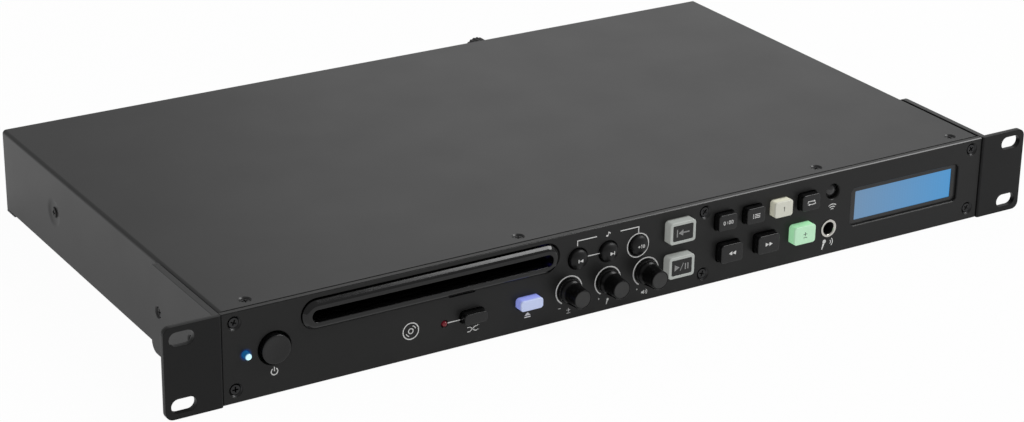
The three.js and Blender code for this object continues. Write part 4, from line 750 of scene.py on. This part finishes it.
def bezel():
    """Moulding round the slot: a flat rim, a slope outside it and a throat behind it."""
    inner = SLOT.height / 2
    outer = inner + SLOT.border
    proud, throat, back = SLOT.proud, SLOT.throat, PANEL_THICKNESS + GAP
    half = SLOT.length / 2 - inner
    section = softened([
        (outer, back, 0), (outer, -SLOT.edge, 0.15), (outer - SLOT.slope, -proud + 0.15, 0.9),
        (inner, -proud, 0.5), (inner, throat, 0), (inner + SHEET, throat, 0),
        (inner + SHEET, back + SHEET, 0), (outer + SHEET / 2, back + SHEET, 0), (outer + SHEET / 2, back, 0),
    ])
    steps = ROUND_STEPS // 2
    loops = []
    for radius, y in section:
        loop = []
        for end in (1, -1):
            for k in range(steps + 1):
                x, z = polar(radius, pi * (k / steps - end / 2), slot_x + end * half, slot_z)
                loop.append((x, y, z))
        loops.append(loop)
    shape = carved(skin(loops, ends=False), notch_tool(-GAP / 2, -proud - 1))
    finished("bezel", shape, "gloss_black", ["slot_bezel"])


# Push buttons
def cap_shape(size, insets):
    """A cap from loops that are each [inset from its outline, y]."""
    levels = []
    for inset, y in insets:
        corner = max(size.corner - inset, LEAST_CORNER)
        levels.append((rounded(size.width - 2 * inset, size.height - 2 * inset, corner), y))
    return stacked(levels)


def rounded_edge(reach):
    return [(CAP_EDGE * (1 - cos(t)), CAP_EDGE * (1 - sin(t)) - reach) for t in quarter()]


def push_cap(size):
    """A cap with rounded edges and a very slightly crowned face."""
    edge = rounded_edge(size.reach - CAP_CROWN)
    return cap_shape(size, [(0, CAP_BACK)] + edge + [(CAP_EDGE + CROWN_INSET, -size.reach)])


def framed_cap(size):
    """A cap whose face is sunk inside a rim, with the insert that lies in it."""
    reach, deep, fit = size.reach, SQUARE_FACE.deep, SQUARE_FACE.fit
    rim = (size.width - SQUARE_FACE.width) / 2
    inside = [(rim - fit, -reach), (rim, fit - reach), (rim, deep - reach)]
    shape = cap_shape(size, [(0, CAP_BACK)] + rounded_edge(reach) + inside)
    wide, tall = SQUARE_FACE.width - fit, SQUARE_FACE.height - fit
    near = SQUARE_FACE.insert - reach
    return shape, slab(wide, tall, SQUARE_FACE.corner, (0, 0), near, deep - reach, SQUARE_FACE.edge)


def body_of(node):
    return next(name for name, nodes in frame["record"]["behaviour"]["bodies"].items() if node in nodes)


def digit(figure):
    """Drawn figures one unit high, about their middle."""
    if figure == "1":
        return stroke([(-0.2, 0.28), (0.04, 0.5), (0.04, -0.5)], 0.16)
    if figure == ":":
        return [circle(0.1, 0, 0.22), circle(0.1, 0, -0.22)]
    return [rounded(0.62, 1.0, 0.28), rounded(0.3, 0.68, 0.14)]


def row_of(figures, height):
    """Figures side by side, about the middle of the row."""
    step, loops = 0.8 * height, []
    for n, figure in enumerate(figures):
        loops += shifted(digit(figure), (n - (len(figures) - 1) / 2) * step, 0, height)
    return loops


def skip_mark(way):
    return wedge(0.1 * way, 0, 2.0, 1.7, way) + block(1.425 * way, 0, 0.45, 1.7)


def wind_mark(way):
    return wedge(-1.1, 0, 2.0, 2.1, way) + wedge(1.1, 0, 2.0, 2.1, way)


def list_mark():
    """Three lines, each with a dot before it."""
    loops = []
    for z in (0.85, 0, -0.85):
        loops += block(-1.85, z, 0.5, 0.5) + block(0.55, z, 3.1, 0.4)
    return loops


half_turn = stroke([(-2.2, -0.1), (-2.2, 0.85), (1.1, 0.85)], 0.4) + wedge(1.7, 0.85, 1.1, 1.3)
marks = {
    "previous": skip_mark(-1),
    "next": skip_mark(1),
    "plus_ten": plus(-1.55, 0, 1.2, 0.32, 0.32, 0.18, 0.55)
    + shifted(digit("1"), -0.25, 0, 1.75) + shifted(digit("0"), 1.05, 0, 1.75),
    "cue": block(-3.4, 0, 0.6, 3.8) + wedge(-1.35, 0, 2.7, 3.2, -1) + block(1.825, 0, 3.55, 0.72),
    "play": wedge(-2.7, 0, 2.9, 3.2) + stroke([(-0.9, -1.9), (0.9, 1.9)], 0.42)
    + block(2.075, 0, 0.65, 3.2) + block(3.525, 0, 0.65, 3.2),
    "time": row_of("0:00", 1.9),
    "program": list_mark(),
    "single": shifted(digit("1"), 0, 0, 2.2),
    "repeat": half_turn + shifted(half_turn, 0, 0, -1),
    "reverse": wind_mark(-1),
    "forward": wind_mark(1),
    "pitch": plus(0, 0.5, 2.4, 0.3, 0.34, 0.18, 1.1) + block(0, -1.3, 2.4, 0.3),
}
inks = {"cue": "grey_print", "play": "grey_print", "single": "dark_print", "pitch": "dark_print"}
caps = {name + "_button": size for size, names in (
    (BAR, ("shuffle", "eject")), (SQUARE, ("cue", "play")), (SMALL, ("time", "program", "single", "repeat")),
    (LARGE, ("reverse", "forward", "pitch")),
) for name in names}
round_caps = ["previous_button", "next_button", "plus_ten_button"]
knobs = ["pitch", "mic_volume", "master"]


def push_buttons():
    for node, size in caps.items():
        key, body, face = node.removesuffix("_button"), body_of(node), -size.reach
        if size is SQUARE:
            shape, insert = framed_cap(size)
            finished(key + "_insert", placed(insert, before(node)), "black_cap", body=body)
            face += SQUARE_FACE.insert
        else:
            shape = push_cap(size)
        finished(key + "_cap", placed(shape, before(node)), slots[node], [node], body=body)
        if key in marks:
            mark = plate(shifted(marks[key], *middle(node)), face - INK, face)
            finished(key + "_mark", mark, "panel_paint", finish=inks.get(key, "white_print"), body=body)


def round_buttons():
    """Domed caps, each with a mark that follows the dome."""
    radius, shoulder, dome = ROUND_CAP.radius, ROUND_CAP.shoulder, ROUND_CAP.dome
    face = [(radius * sin(t), -shoulder - dome * cos(t), 0) for t in quarter(12)]
    raised = [(r, y - INK, corner) for r, y, corner in face]
    for node in round_caps:
        key, body = node.removesuffix("_button"), body_of(node)
        finished(key + "_cap", domed(face, before(node)), "black_cap", [node], "round_black", body)
        print_tool = plate(shifted(marks[key], *middle(node)), -shoulder - dome - 1, -shoulder)
        mark = carved(domed(raised, before(node), CAP_BACK - INK), print_tool, "INTERSECT")
        finished(key + "_mark", mark, "black_cap", finish="white_print", body=body)


def power_button():
    radius, reach, rim = POWER_CAP.radius, POWER_CAP.reach, POWER_CAP.rim
    face = [(share * (radius - rim), POWER_CAP.dish * (1 - share ** 2) - reach, 0) for share in SHARES]
    face.append((radius, -reach, POWER_CAP.edge))
    shape = domed(face, before("power_button"), steps=FINE_STEPS)
    finished("power_cap", shape, "black_cap", ["power_button"], body="power_push")


def rotary_knobs():
    """Tapered knobs with a pointer rib, and a fine line on the tip that points the same way."""
    face, edge, skirt, lift = -KNOB.reach, KNOB.edge, -KNOB.skirt, -KNOB.lift
    hollow = KNOB.tip - KNOB.wall
    body = lathe([
        (0, face + 0.3, 0), (hollow, face + 0.3, 0), (hollow, face, 0.1), (KNOB.tip, face, edge),
        (KNOB.neck, skirt - 1.2, 1.0), (KNOB.base, skirt, 0.8), (KNOB.base, lift, 0.2),
        (KNOB_SHAFT, lift, 0), (KNOB_SHAFT, CAP_BACK, 0), (0, CAP_BACK, 0),
    ], steps=FINE_STEPS)
    half = KNOB_RIB.width / 2
    side = [(0, lift), (KNOB_RIB.low, lift), (KNOB_RIB.tip, face + edge), (0, face + edge)]
    rib = bevelled(skin([[(r, y, w) for r, y in side] for w in (-half, half)]), KNOB_RIB.edge)
    tip, top = hollow - KNOB_TIP.gap, face + KNOB_TIP.deep
    under = top + KNOB_TIP.thickness
    disc = drum(tip, top, under, (0, 0, 0), (0.1, 0))
    mark = wedge(KNOB.tip * KNOB_TIP.line_share, 0, KNOB_TIP.line, KNOB_TIP.line_width)
    line = plate(mark, top - INK, top + 0.1)
    for name in knobs:
        place = at(before(name + "_potentiometer"))
        turn = place @ turned(-KNOB_REST, "Y")
        grip, ride = moved(carved(body, rib, "UNION"), turn), name + "_turn"
        finished(name + "_grip", grip, "knob_black", [name + "_knob"], body=ride, smooth=35)
        finished(name + "_tip", moved(disc, turn), "knob_black", finish="knob_tip", body=ride)
        finished(name + "_pointer", moved(line, turn), "knob_black", finish="dark_print", body=ride)


# Lamps, sensor, microphone socket and display
def lamps():
    for node, size, slot in (("power_led", LAMP, "blue_lamp"), ("shuffle_led", DOT_LAMP, "red_lamp")):
        radius, reach = size.radius, size.reach
        face = [(radius * sin(t), radius * (1 - cos(t)) * LAMP_CROWN - reach, 0) for t in quarter()]
        finished(slot, domed(face, before(node), steps=SCREW_STEPS), slot, [node])


def sensor():
    """A dark lens with its edge set back further than its middle."""
    radius = SENSOR.radius - SENSOR.gap
    face = [(radius * share, SENSOR.setback + SENSOR.crown * share ** 2, 0) for share in SHARES]
    dome = domed(face, before("sensor_lens"), CAP_BACK + 1)
    finished("sensor_dome", dome, "smoked_window", ["sensor_lens"], "sensor_glass")


def jack():
    """Nut, body and dark lining of the microphone socket."""
    place = before("mic_jack")
    nut, bore, proud, deep, lip = JACK.nut, JACK.bore, JACK.proud, JACK.nut_deep, JACK.lip
    ring = lathe([
        (nut, -INK, 0), (nut, -proud, 0.25), (bore + 0.3, -proud, 0.25), (bore, 0.3, 0.2), (bore, deep, 0),
        (nut - lip, deep, 0), (nut - lip, -INK, 0),
    ], place, steps=FINE_STEPS)
    finished("jack_nut", ring, "nickel")
    low, high = span("mic_jack")
    side, depth = high.x - low.x, JACK.depth
    shell = slab(side, side, 1, middle("mic_jack"), CAP_BACK + GAP, high.y, 0.3)
    lining = lathe([
        (bore + 1, lip, 0), (bore - 0.05, lip, 0), (bore - 0.05, depth, 0), (0, depth, 0), (0, depth + 1, 0),
        (bore + 1, depth + 1, 0),
    ], place)
    hollow = drum(bore + 0.9, 0, depth + 0.5, place)
    finished("jack_body", carved(shell, hollow), "drive_black", ["mic_jack"])
    finished("jack_lining", lining, "drive_black")


def display():
    """Dark frame in the fascia with the lit screen in its opening, and the body behind them."""
    setback, corner, edge, back = DISPLAY.setback, DISPLAY.corner, DISPLAY.edge, PANEL_THICKNESS + GAP

    def outline(size, grown, corner):
        return rounded(size.width + 2 * grown, size.height + 2 * grown, corner, display_x, display_z)

    opening = outline(SCREEN, 0, SCREEN.corner)
    border = plate([outline(DISPLAY, -edge, corner), opening], setback, back, edge)
    flange = plate([outline(DISPLAY, DISPLAY.flange, corner), opening], back, back + SHEET)
    finished("display_frame", merged([border, flange]), "smoked_window", ["display_window"])
    front = setback + SCREEN.deep
    lit = plate([outline(SCREEN, SCREEN.under, 0.3)], front, front + SCREEN.thickness)
    finished("display_screen", lit, "screen")
    low, high = span("display_module")
    body = slab(high.x - low.x, high.z - low.z, 1, middle("display_module"), low.y + SHEET, high.y, 0.3)
    finished("display_body", body, "drive_black", ["display_module"])


# Printed marks on the fascia. Each is drawn about its own middle. A place is an offset to the right of the
# middle of a control, and a height
LINE = 0.5
MARK_AT = {
    "power_button": (-0.3, 11.0), "shuffle_button": (0.7, 7.8), "eject_button": (0.0, 7.6),
    "mic_jack": (-2.6, 6.0),
}
BRACKET = Sizes(z=39.3, left_foot=36.8, right_foot=36.25)
DISC_MARK = (-120.0, 14.2)
SENSOR_MARK = -10.2


def under(node, loops):
    """A mark at its place under a control."""
    offset, height = MARK_AT[node]
    return shifted(loops, middle(node)[0] + offset, height)


def microphone():
    """A stick microphone with a round head, leaning to the right."""
    lean = radians(-18)
    loops = [circle(1.05, 0, 1.6), [(-0.62, 0.5), (0.62, 0.5), (0.25, -2.7), (-0.25, -2.7)]]
    turn = Matrix.Rotation(lean, 2)
    return [[tuple(turn @ Vector(point)) for point in loop] for loop in loops]


def music_note():
    head = [(0.62 * cos(t) - 0.75, 0.48 * sin(t) - 0.75) for t in around(16)]
    flag = [(0.1, 1.2), (1.1, 0.5), (0.9, -0.1), (0.1, 0.55)]
    return [head, flag] + block(-0.13, 0.325, 0.3, 1.75)


def speaker():
    """A loudspeaker with two waves."""
    cone = [(-1.6, -0.45), (-0.9, -0.45), (0, -1.1), (0, 1.1), (-0.9, 0.45), (-1.6, 0.45)]
    return [cone] + waves((0.9, 1.7), 0.28, -50, 50)


def button_marks():
    """Marks under the power, shuffle and eject buttons, and the line from the lamp to the shuffle button."""
    loops = under("power_button", arc(1.6, LINE, 122, 418) + block(0, 1.2, LINE, 2.2))
    loops += shifted(block(4.9, 0.2, 6.6, LINE), *middle("shuffle_led"))
    for way in (1, -1):
        path = [(-3.1, -1.1 * way), (-1.7, -1.1 * way), (1.0, 1.1 * way), (2.4, 1.1 * way)]
        loops += under("shuffle_button", stroke(path, 0.42) + wedge(2.8, 1.1 * way, 1.1, 1.3))
    return loops + under("eject_button", peak(0, 0, 3.4, 1.6) + block(0, -0.8, 3.4, 0.6))


def track_marks():
    """A line between two of the track buttons, a ring round the last, and a bracket with a note over them."""
    first, second, last = (middle(node)[0] for node in round_caps)
    z, top = middle("next_button")[1], BRACKET.z
    loops = stroke([(first + 5.6, z), (second - 4.5, z)], LINE) + hoop(6.0, 0.55, last - 0.1, z - 0.55)
    loops += stroke([(first - 0.3, BRACKET.left_foot), (first - 0.3, top), (first + 10.4, top)], LINE)
    loops += stroke([(last, BRACKET.right_foot), (last, top), (last - 10.3, top)], LINE)
    return loops + shifted(music_note(), (first + last) / 2, top - 0.1)


def knob_marks():
    """An arc round each knob, with what it sets and which way is more printed under it."""
    pitch, mic, master = (middle(name + "_potentiometer") for name in knobs)
    loops = []
    for place in (pitch, mic, master):
        loops += shifted(arc(7.1, 0.62, 238, -58), *place)
    signs = block(-4.95, -8.425, 1.3, 0.35) + plus(4.85, -8.425, 1.3, 0.35, 0.34, 0.175, 0.625)
    loops += shifted(signs + shifted(marks["pitch"], 0, -10.6, 0.85), *pitch)
    for place in (mic, master):
        loops += shifted([circle(0.35, -4.7, -8.4)] + peak(2.8, -8.7, 1.4, 1.2), *place)
    return loops + shifted(shifted(microphone(), 0, -10.6, 0.6), *mic) + shifted(
        shifted(speaker(), -0.6, -10.6), *master)


def panel_marks():
    disc = hoop(4.0, 0.5) + hoop(1.2, 0.45) + arc(2.6, 0.4, 20, 70) + arc(2.6, 0.4, 200, 250)
    loops = button_marks() + track_marks() + knob_marks() + shifted(disc, *DISC_MARK)
    loops += shifted(waves((1.2, 2.4, 3.6), 0.45, 50, 130, 0, SENSOR_MARK), *middle("sensor_lens"))
    loops += under("mic_jack", microphone() + waves((1.3, 2.5), 0.45, -50, 50, 3.2, 0.6))
    finished("fascia_marks", plate(loops, -INK, 0), "panel_paint", finish="white_print")


# Case
def lid():
    """Folded lid with both sides, sunk for its screws and dished for the screw at each side."""
    half, top, low = cover_high.x, cover_high.z, cover_low.z

    def section(side, height, radius):
        arch = [polar(radius, turn, side - radius, height - radius) for turn in quarter()]
        return [(side, low)] + arch + [(-x, z) for x, z in arch[::-1]] + [(-side, low)]

    outer = section(half, top, FOLD)
    inner = section(half - SHEET, top - SHEET, FOLD - SHEET)
    shape = plate([outer + inner[::-1]], cover_low.y - LID_REACH, cover_high.y, LID_EDGE)
    sink = moved(sink_shape(3), into_top)
    shape = carved(shape, merged(placed(sink, (x, COVER_SCREW_Y, top)) for x in COVER_SCREW_X))
    dishes = []
    for side in (1, -1):
        wall, deep = side * half, side * DIMPLE.deep
        dishes.append(lathe([
            (0, wall + side, 0), (DIMPLE.radius, wall + side, 0), (DIMPLE.radius, wall, 0),
            (DIMPLE.floor, wall - deep, 1.5), (0, wall - deep, 0),
        ], (0, DIMPLE.y, DIMPLE.z), "x"))
    finished("lid", carved(shape, merged(dishes)), "cover_paint", ["top_cover"])
    heads = [((x, COVER_SCREW_Y, top - SCREW_SINK.deep), 31 * n) for n, x in enumerate(COVER_SCREW_X)]
    finished("lid_screws", screws_at(heads, into_top), "cover_paint", finish="screw_black")
    for side, name in ((1, "right"), (-1, "left")):
        place = at((side * (half - DIMPLE.deep), DIMPLE.y, DIMPLE.z))
        head = moved(pan_screw(), place @ turned(side * 90, "Z"))
        finished("side_screw_" + name, head, "cover_paint", finish="knob_black")


def ears():
    """Bent angles with rounded corners, two rack slots and two countersunk screws each."""
    thick, bend = EAR.thickness, EAR.bend
    for side, name in ((-1, "left"), (1, "right")):
        node = "rack_ear_" + name
        low, high = span(node)
        near, far = sorted((abs(low.x), abs(high.x)))
        front, length, height, mid = low.y, high.y, high.z - low.z, (low.z + high.z) / 2
        plan = [(near, length)]
        plan += [(near + bend * (1 - cos(t)), front + bend * (1 - sin(t))) for t in quarter()]
        plan += [(far, front), (far, front + thick), (near + thick, front + thick), (near + thick, length)]
        angle = skin([[(side * x, y, z) for x, y in plan] for z in (low.z, high.z)])
        reach = 2 * (far - near)
        front_mask = slab(reach, height, EAR.corner, (side * (far - reach / 2), mid), front - 1, length + 1)
        side_mask = slab(2 * length, height, EAR.flange_corner, (0, mid), -far - 1, far + 1)
        side_mask = moved(side_mask, turned(90, "Z"))
        shape = carved(carved(angle, front_mask, "INTERSECT"), side_mask, "INTERSECT")
        slot_corner, tools = RACK_SLOT.height / 2 - 0.01, []
        for way in (-1, 1):
            place = side * (far - RACK_SLOT.inset), mid + way * RACK_SLOT.pitch / 2
            tools.append(slab(RACK_SLOT.length, RACK_SLOT.height, slot_corner, place, front - 1, thick + 1))
        shape = carved(shape, merged(tools))
        turn = turned(side * 90, "Z")
        outside, head = side * (near + thick), side * (near + thick - SCREW_SINK.deep)
        sink = moved(sink_shape(thick + 1), turn)
        sinks = merged(placed(sink, (outside, y, mid)) for y in EAR_SCREW_Y)
        shape = bevelled(carved(shape, sinks), EAR.edge)
        finished("ear_" + name, shape, "ear_paint", [node])
        heads = screws_at([((head, y, mid), 20 + y) for y in EAR_SCREW_Y], turn)
        finished("ear_screws_" + name, heads, "ear_paint", finish="screw_black")


# Rear sockets
def rear_fittings():
    face = span("rear_panel")[1].y
    heads = inlet(face)
    for node in ("xlr_left", "xlr_right"):
        heads += line_socket(node, face)
    finished("socket_screws", screws_at(heads, turned(180, "Z")), "nickel", finish="steel")
    for node in ("audio_outputs", "digital_output"):
        phono_sockets(node, face)
    fuse_cap(face)


def inlet(face):
    """A three-pin mains inlet; gives the places of its two screws."""
    x, z = middle("power_inlet")
    wall, mouth = INLET.wall, face + GAP + INLET.flange
    floor = mouth - INLET.deep - INLET.pin_root
    flange = rounded(INLET.flange_width, INLET.flange_height, INLET.corner, x, z)
    opening = rounded(INLET.width, INLET.height, INLET.mouth_corner, x, z)
    outside = rounded(INLET.width + 2 * wall, INLET.height + 2 * wall, INLET.corner, x, z)
    holes = [circle(SOCKET_HOLE, x + way * INLET.screw_x, z) for way in (-1, 1)]
    shell = [
        plate([flange, opening] + holes, face + GAP, mouth, 0.3), plate([outside, opening], floor, face),
        plate([outside], floor - wall, floor),
    ]
    finished("inlet_shell", merged(shell), "drive_black", ["power_inlet"])
    blades = []
    for way, up in ((-1, 0), (0, 1), (1, 0)):
        place = x + way * INLET_PIN.gap, z + (up - 0.5) * INLET_PIN.rise
        tip = floor + INLET_PIN.length + INLET.pin_root
        blades.append(slab(INLET_PIN.width, INLET_PIN.height, INLET_PIN.corner, place, floor, tip, 0.3))
    finished("inlet_pins", merged(blades), "nickel")
    depth = mouth - SCREW_SINK.deep
    return [((x + way * INLET.screw_x, depth, z), 40 * way) for way in (-1, 1)]


def line_socket(node, face):
    """A three-pin line socket; gives the places of its two screws."""
    place = x, _, z = before(node)
    front, mouth = face + GAP + XLR.flange, face + GAP + XLR.reach
    corners = [(x + way * XLR_PIN.screw_x, z + way * XLR_PIN.screw_z) for way in (-1, 1)]
    loops = [rounded(XLR.width, XLR.height, XLR.corner, x, z), circle(XLR.bore, x, z)]
    loops += [circle(SOCKET_HOLE, *corner) for corner in corners]
    flange = plate(loops, face + GAP, front, SOCKET_EDGE)
    shell, bore, floor = XLR.shell, XLR.bore, mouth - XLR.deep
    tube = lathe([
        (shell, front - 1, 0), (shell, mouth, 0.4), (bore, mouth, 0.3), (bore, floor, 0),
        (bore + 1, floor, 0), (bore + 1, front - 1, 0),
    ], place, steps=FINE_STEPS)
    finished(node + "_shell", merged([flange, tube]), "nickel", [node])
    finished(node + "_insert", drum(bore - 0.1, floor - 1, floor, place, (0, 0.2)), "drive_black")
    pins = []
    for turn in around(XLR_PIN.count):
        px, pz = polar(XLR_PIN.circle, turn + pi / 2, x, z)
        pins.append(drum(XLR_PIN.radius, floor, floor + XLR_PIN.length, (px, 0, pz), (0, 0.7), 20))
    finished(node + "_pins", merged(pins), "nickel")
    return [((px, front - SCREW_SINK.deep, pz), 25) for px, pz in corners]


def phono_sockets(node, face):
    """Phono sockets side by side on one black plate."""
    low, high = span(node)
    x, z = middle(node)
    front = face + GAP + PHONO.plate
    half = (high.x - low.x) / 2 - PHONO.margin
    paired = half > 1
    body = slab(high.x - low.x, PHONO.height, 1.5, (x, z), face + GAP, front, SOCKET_EDGE)
    finished(node + "_plate", body, "drive_black", [node])
    barrel, bore, tip, deep = PHONO.barrel, PHONO.bore, front + PHONO.reach, PHONO.deep
    rim, back, inside = tip - 0.55, tip - 3, bore + 0.02
    barrels = []
    for n, px in enumerate([x - half, x + half] if paired else [x]):
        barrels.append(lathe([
            (0, tip - deep, 0), (bore, tip - deep, 0), (bore, tip - 0.6, 0), (barrel - 0.9, tip - 0.6, 0),
            (barrel - 0.9, tip, 0.1), (barrel, tip, 0.3), (barrel, front, 0), (barrel - 0.5, front - 0.4, 0),
            (0, front - deep, 0),
        ], (px, 0, z)))
        ring = [(inside, back, 0), (inside, rim, 0), (barrel - 1, rim, 0), (barrel - 1, back, 0)]
        finish = "white_gear" if paired and n == 0 else None
        finished(f"{node}_ring_{n}", lathe(ring, (px, 0, z)), "drive_black", finish=finish)
    finished(node + "_barrels", merged(barrels), "nickel")


def fuse_cap(face):
    """Ribbed round cap of the fuse holder."""
    place = x, _, z = before("fuse_holder")
    near = face + GAP
    end, flange = near + FUSE.length, near + FUSE.flange_thickness
    base = drum(FUSE.flange, near, flange, place, (0, 0.4))
    levels = []
    for shrink, y in ((0.0, flange), (0.0, end - 0.8), (0.25, end - 0.2), (0.7, end)):
        radii = [FUSE.cap - shrink - FUSE.grip, FUSE.cap - shrink]
        turns = enumerate(around(4 * FUSE.grips))
        levels.append(([polar(radii[k % 4 // 2], turn, x, z) for k, turn in turns], y))
    slot = slab(FUSE.slot, FUSE.slot_width, 0.3, (x, z), end - FUSE.slot_deep, end + 1)
    finished("fuse_base", base, "drive_black")
    finished("fuse_cap", carved(stacked(levels), slot), "drive_black", ["fuse_holder"])


for make in (
    fascia, bezel, push_buttons, round_buttons, power_button, rotary_knobs, lamps, sensor, jack, display,
    panel_marks, lid, ears, rear_fittings,
):
    make()

# Camera
VIEW = {"azimuth": 31.98, "elevation": 22.89, "roll": 0.94, "lens": 91.86, "sensor": 36.0}
VIEW_PLACE = (-644.9, -925.0, 522.4)


def camera():
    azimuth, elevation, roll = (radians(VIEW[key]) for key in ("azimuth", "elevation", "roll"))
    across = cos(elevation)
    forward = Vector((sin(azimuth) * across, cos(azimuth) * across, -sin(elevation)))
    level = forward.cross(Vector((0, 0, 1))).normalized()
    right = level * cos(roll) + level.cross(forward) * sin(roll)
    up = right.cross(forward)
    data = bpy.data.cameras.new("camera")
    data.sensor_fit = "HORIZONTAL"
    data.sensor_width = VIEW["sensor"]
    data.lens = VIEW["lens"]
    data.clip_end = 50
    scene.camera = linked("camera", data)
    turn = Matrix((right, up, -forward)).transposed().to_4x4()
    scene.camera.matrix_world = at(to_metres @ Vector(VIEW_PLACE)) @ turn


# Light: a pale surrounding, a soft lamp high at the front right and a weaker one behind at the right.
# Each lamp: azimuth from the right towards the rear, height angle, distance in metres, size and power
SURROUNDING = 0.41
LAMPS = (
    {"azimuth": -19, "height": 46, "distance": 2.5, "size": 1.2, "power": 36},
    {"azimuth": 54, "height": 22, "distance": 3.0, "size": 1.3, "power": 2.6},
)


def light():
    scene.world = bpy.data.worlds.new("surrounding")
    scene.world.use_nodes = True
    plain = scene.world.node_tree.nodes["Background"]
    give(plain.inputs["Color"], (1, 1, 1))
    give(plain.inputs["Strength"], SURROUNDING)
    for n, lamp in enumerate(LAMPS):
        data = bpy.data.lights.new(f"lamp_{n}", "AREA")
        data.size = lamp["size"]
        data.energy = lamp["power"]
        azimuth, height = radians(lamp["azimuth"]), radians(lamp["height"])
        across = cos(height)
        place = Vector((cos(azimuth) * across, sin(azimuth) * across, sin(height)))
        made = linked(f"lamp_{n}", data)
        made.location = place * lamp["distance"]
        made.rotation_euler = place.to_track_quat("Z", "Y").to_euler()
        made.visible_camera = False


# Floor, in metres, and the share of plain white in it, for the camera and in what reflects or passes light
FLOOR_REACH, FLOOR_DROP = 6.0, 0.0002
WHITE_SHARES = {"Is Camera Ray": 0.97, "Is Glossy Ray": 0.5, "Is Transmission Ray": 0.5}


def floor_finish():
    """Pale matt that shows as white to the kinds of rays that have a share, and takes the shadow."""
    finish = Finish("floor", (0.8, 0.8, 0.8), 0.9, ior=1.5).put("Specular IOR Level", 0.0)
    path = finish.add("ShaderNodeLightPath")
    total = 0.0
    for name, share in WHITE_SHARES.items():
        total = finish.worked("MULTIPLY_ADD", path.outputs[name], share, total)
    white = finish.add("ShaderNodeEmission", Strength=1.0)
    mix = finish.add("ShaderNodeMixShader", Fac=total)
    give(mix.inputs[1], finish.shader.outputs["BSDF"])
    give(mix.inputs[2], white.outputs["Emission"])
    give(finish.nodes["Material Output"].inputs["Surface"], mix.outputs["Shader"])
    return finish.material


def floor():
    reach, low = FLOOR_REACH, cad_box[0].z - FLOOR_DROP
    data = bpy.data.meshes.new("floor")
    corners = [(x * reach, y * reach, low) for x, y in ((-1, -1), (1, -1), (1, 1), (-1, 1))]
    data.from_pydata(corners, [], [(0, 1, 2, 3)])
    data.materials.append(floor_finish())
    made = linked("floor", data)


camera()
light()
floor()
scene.view_settings.view_transform = "Standard"
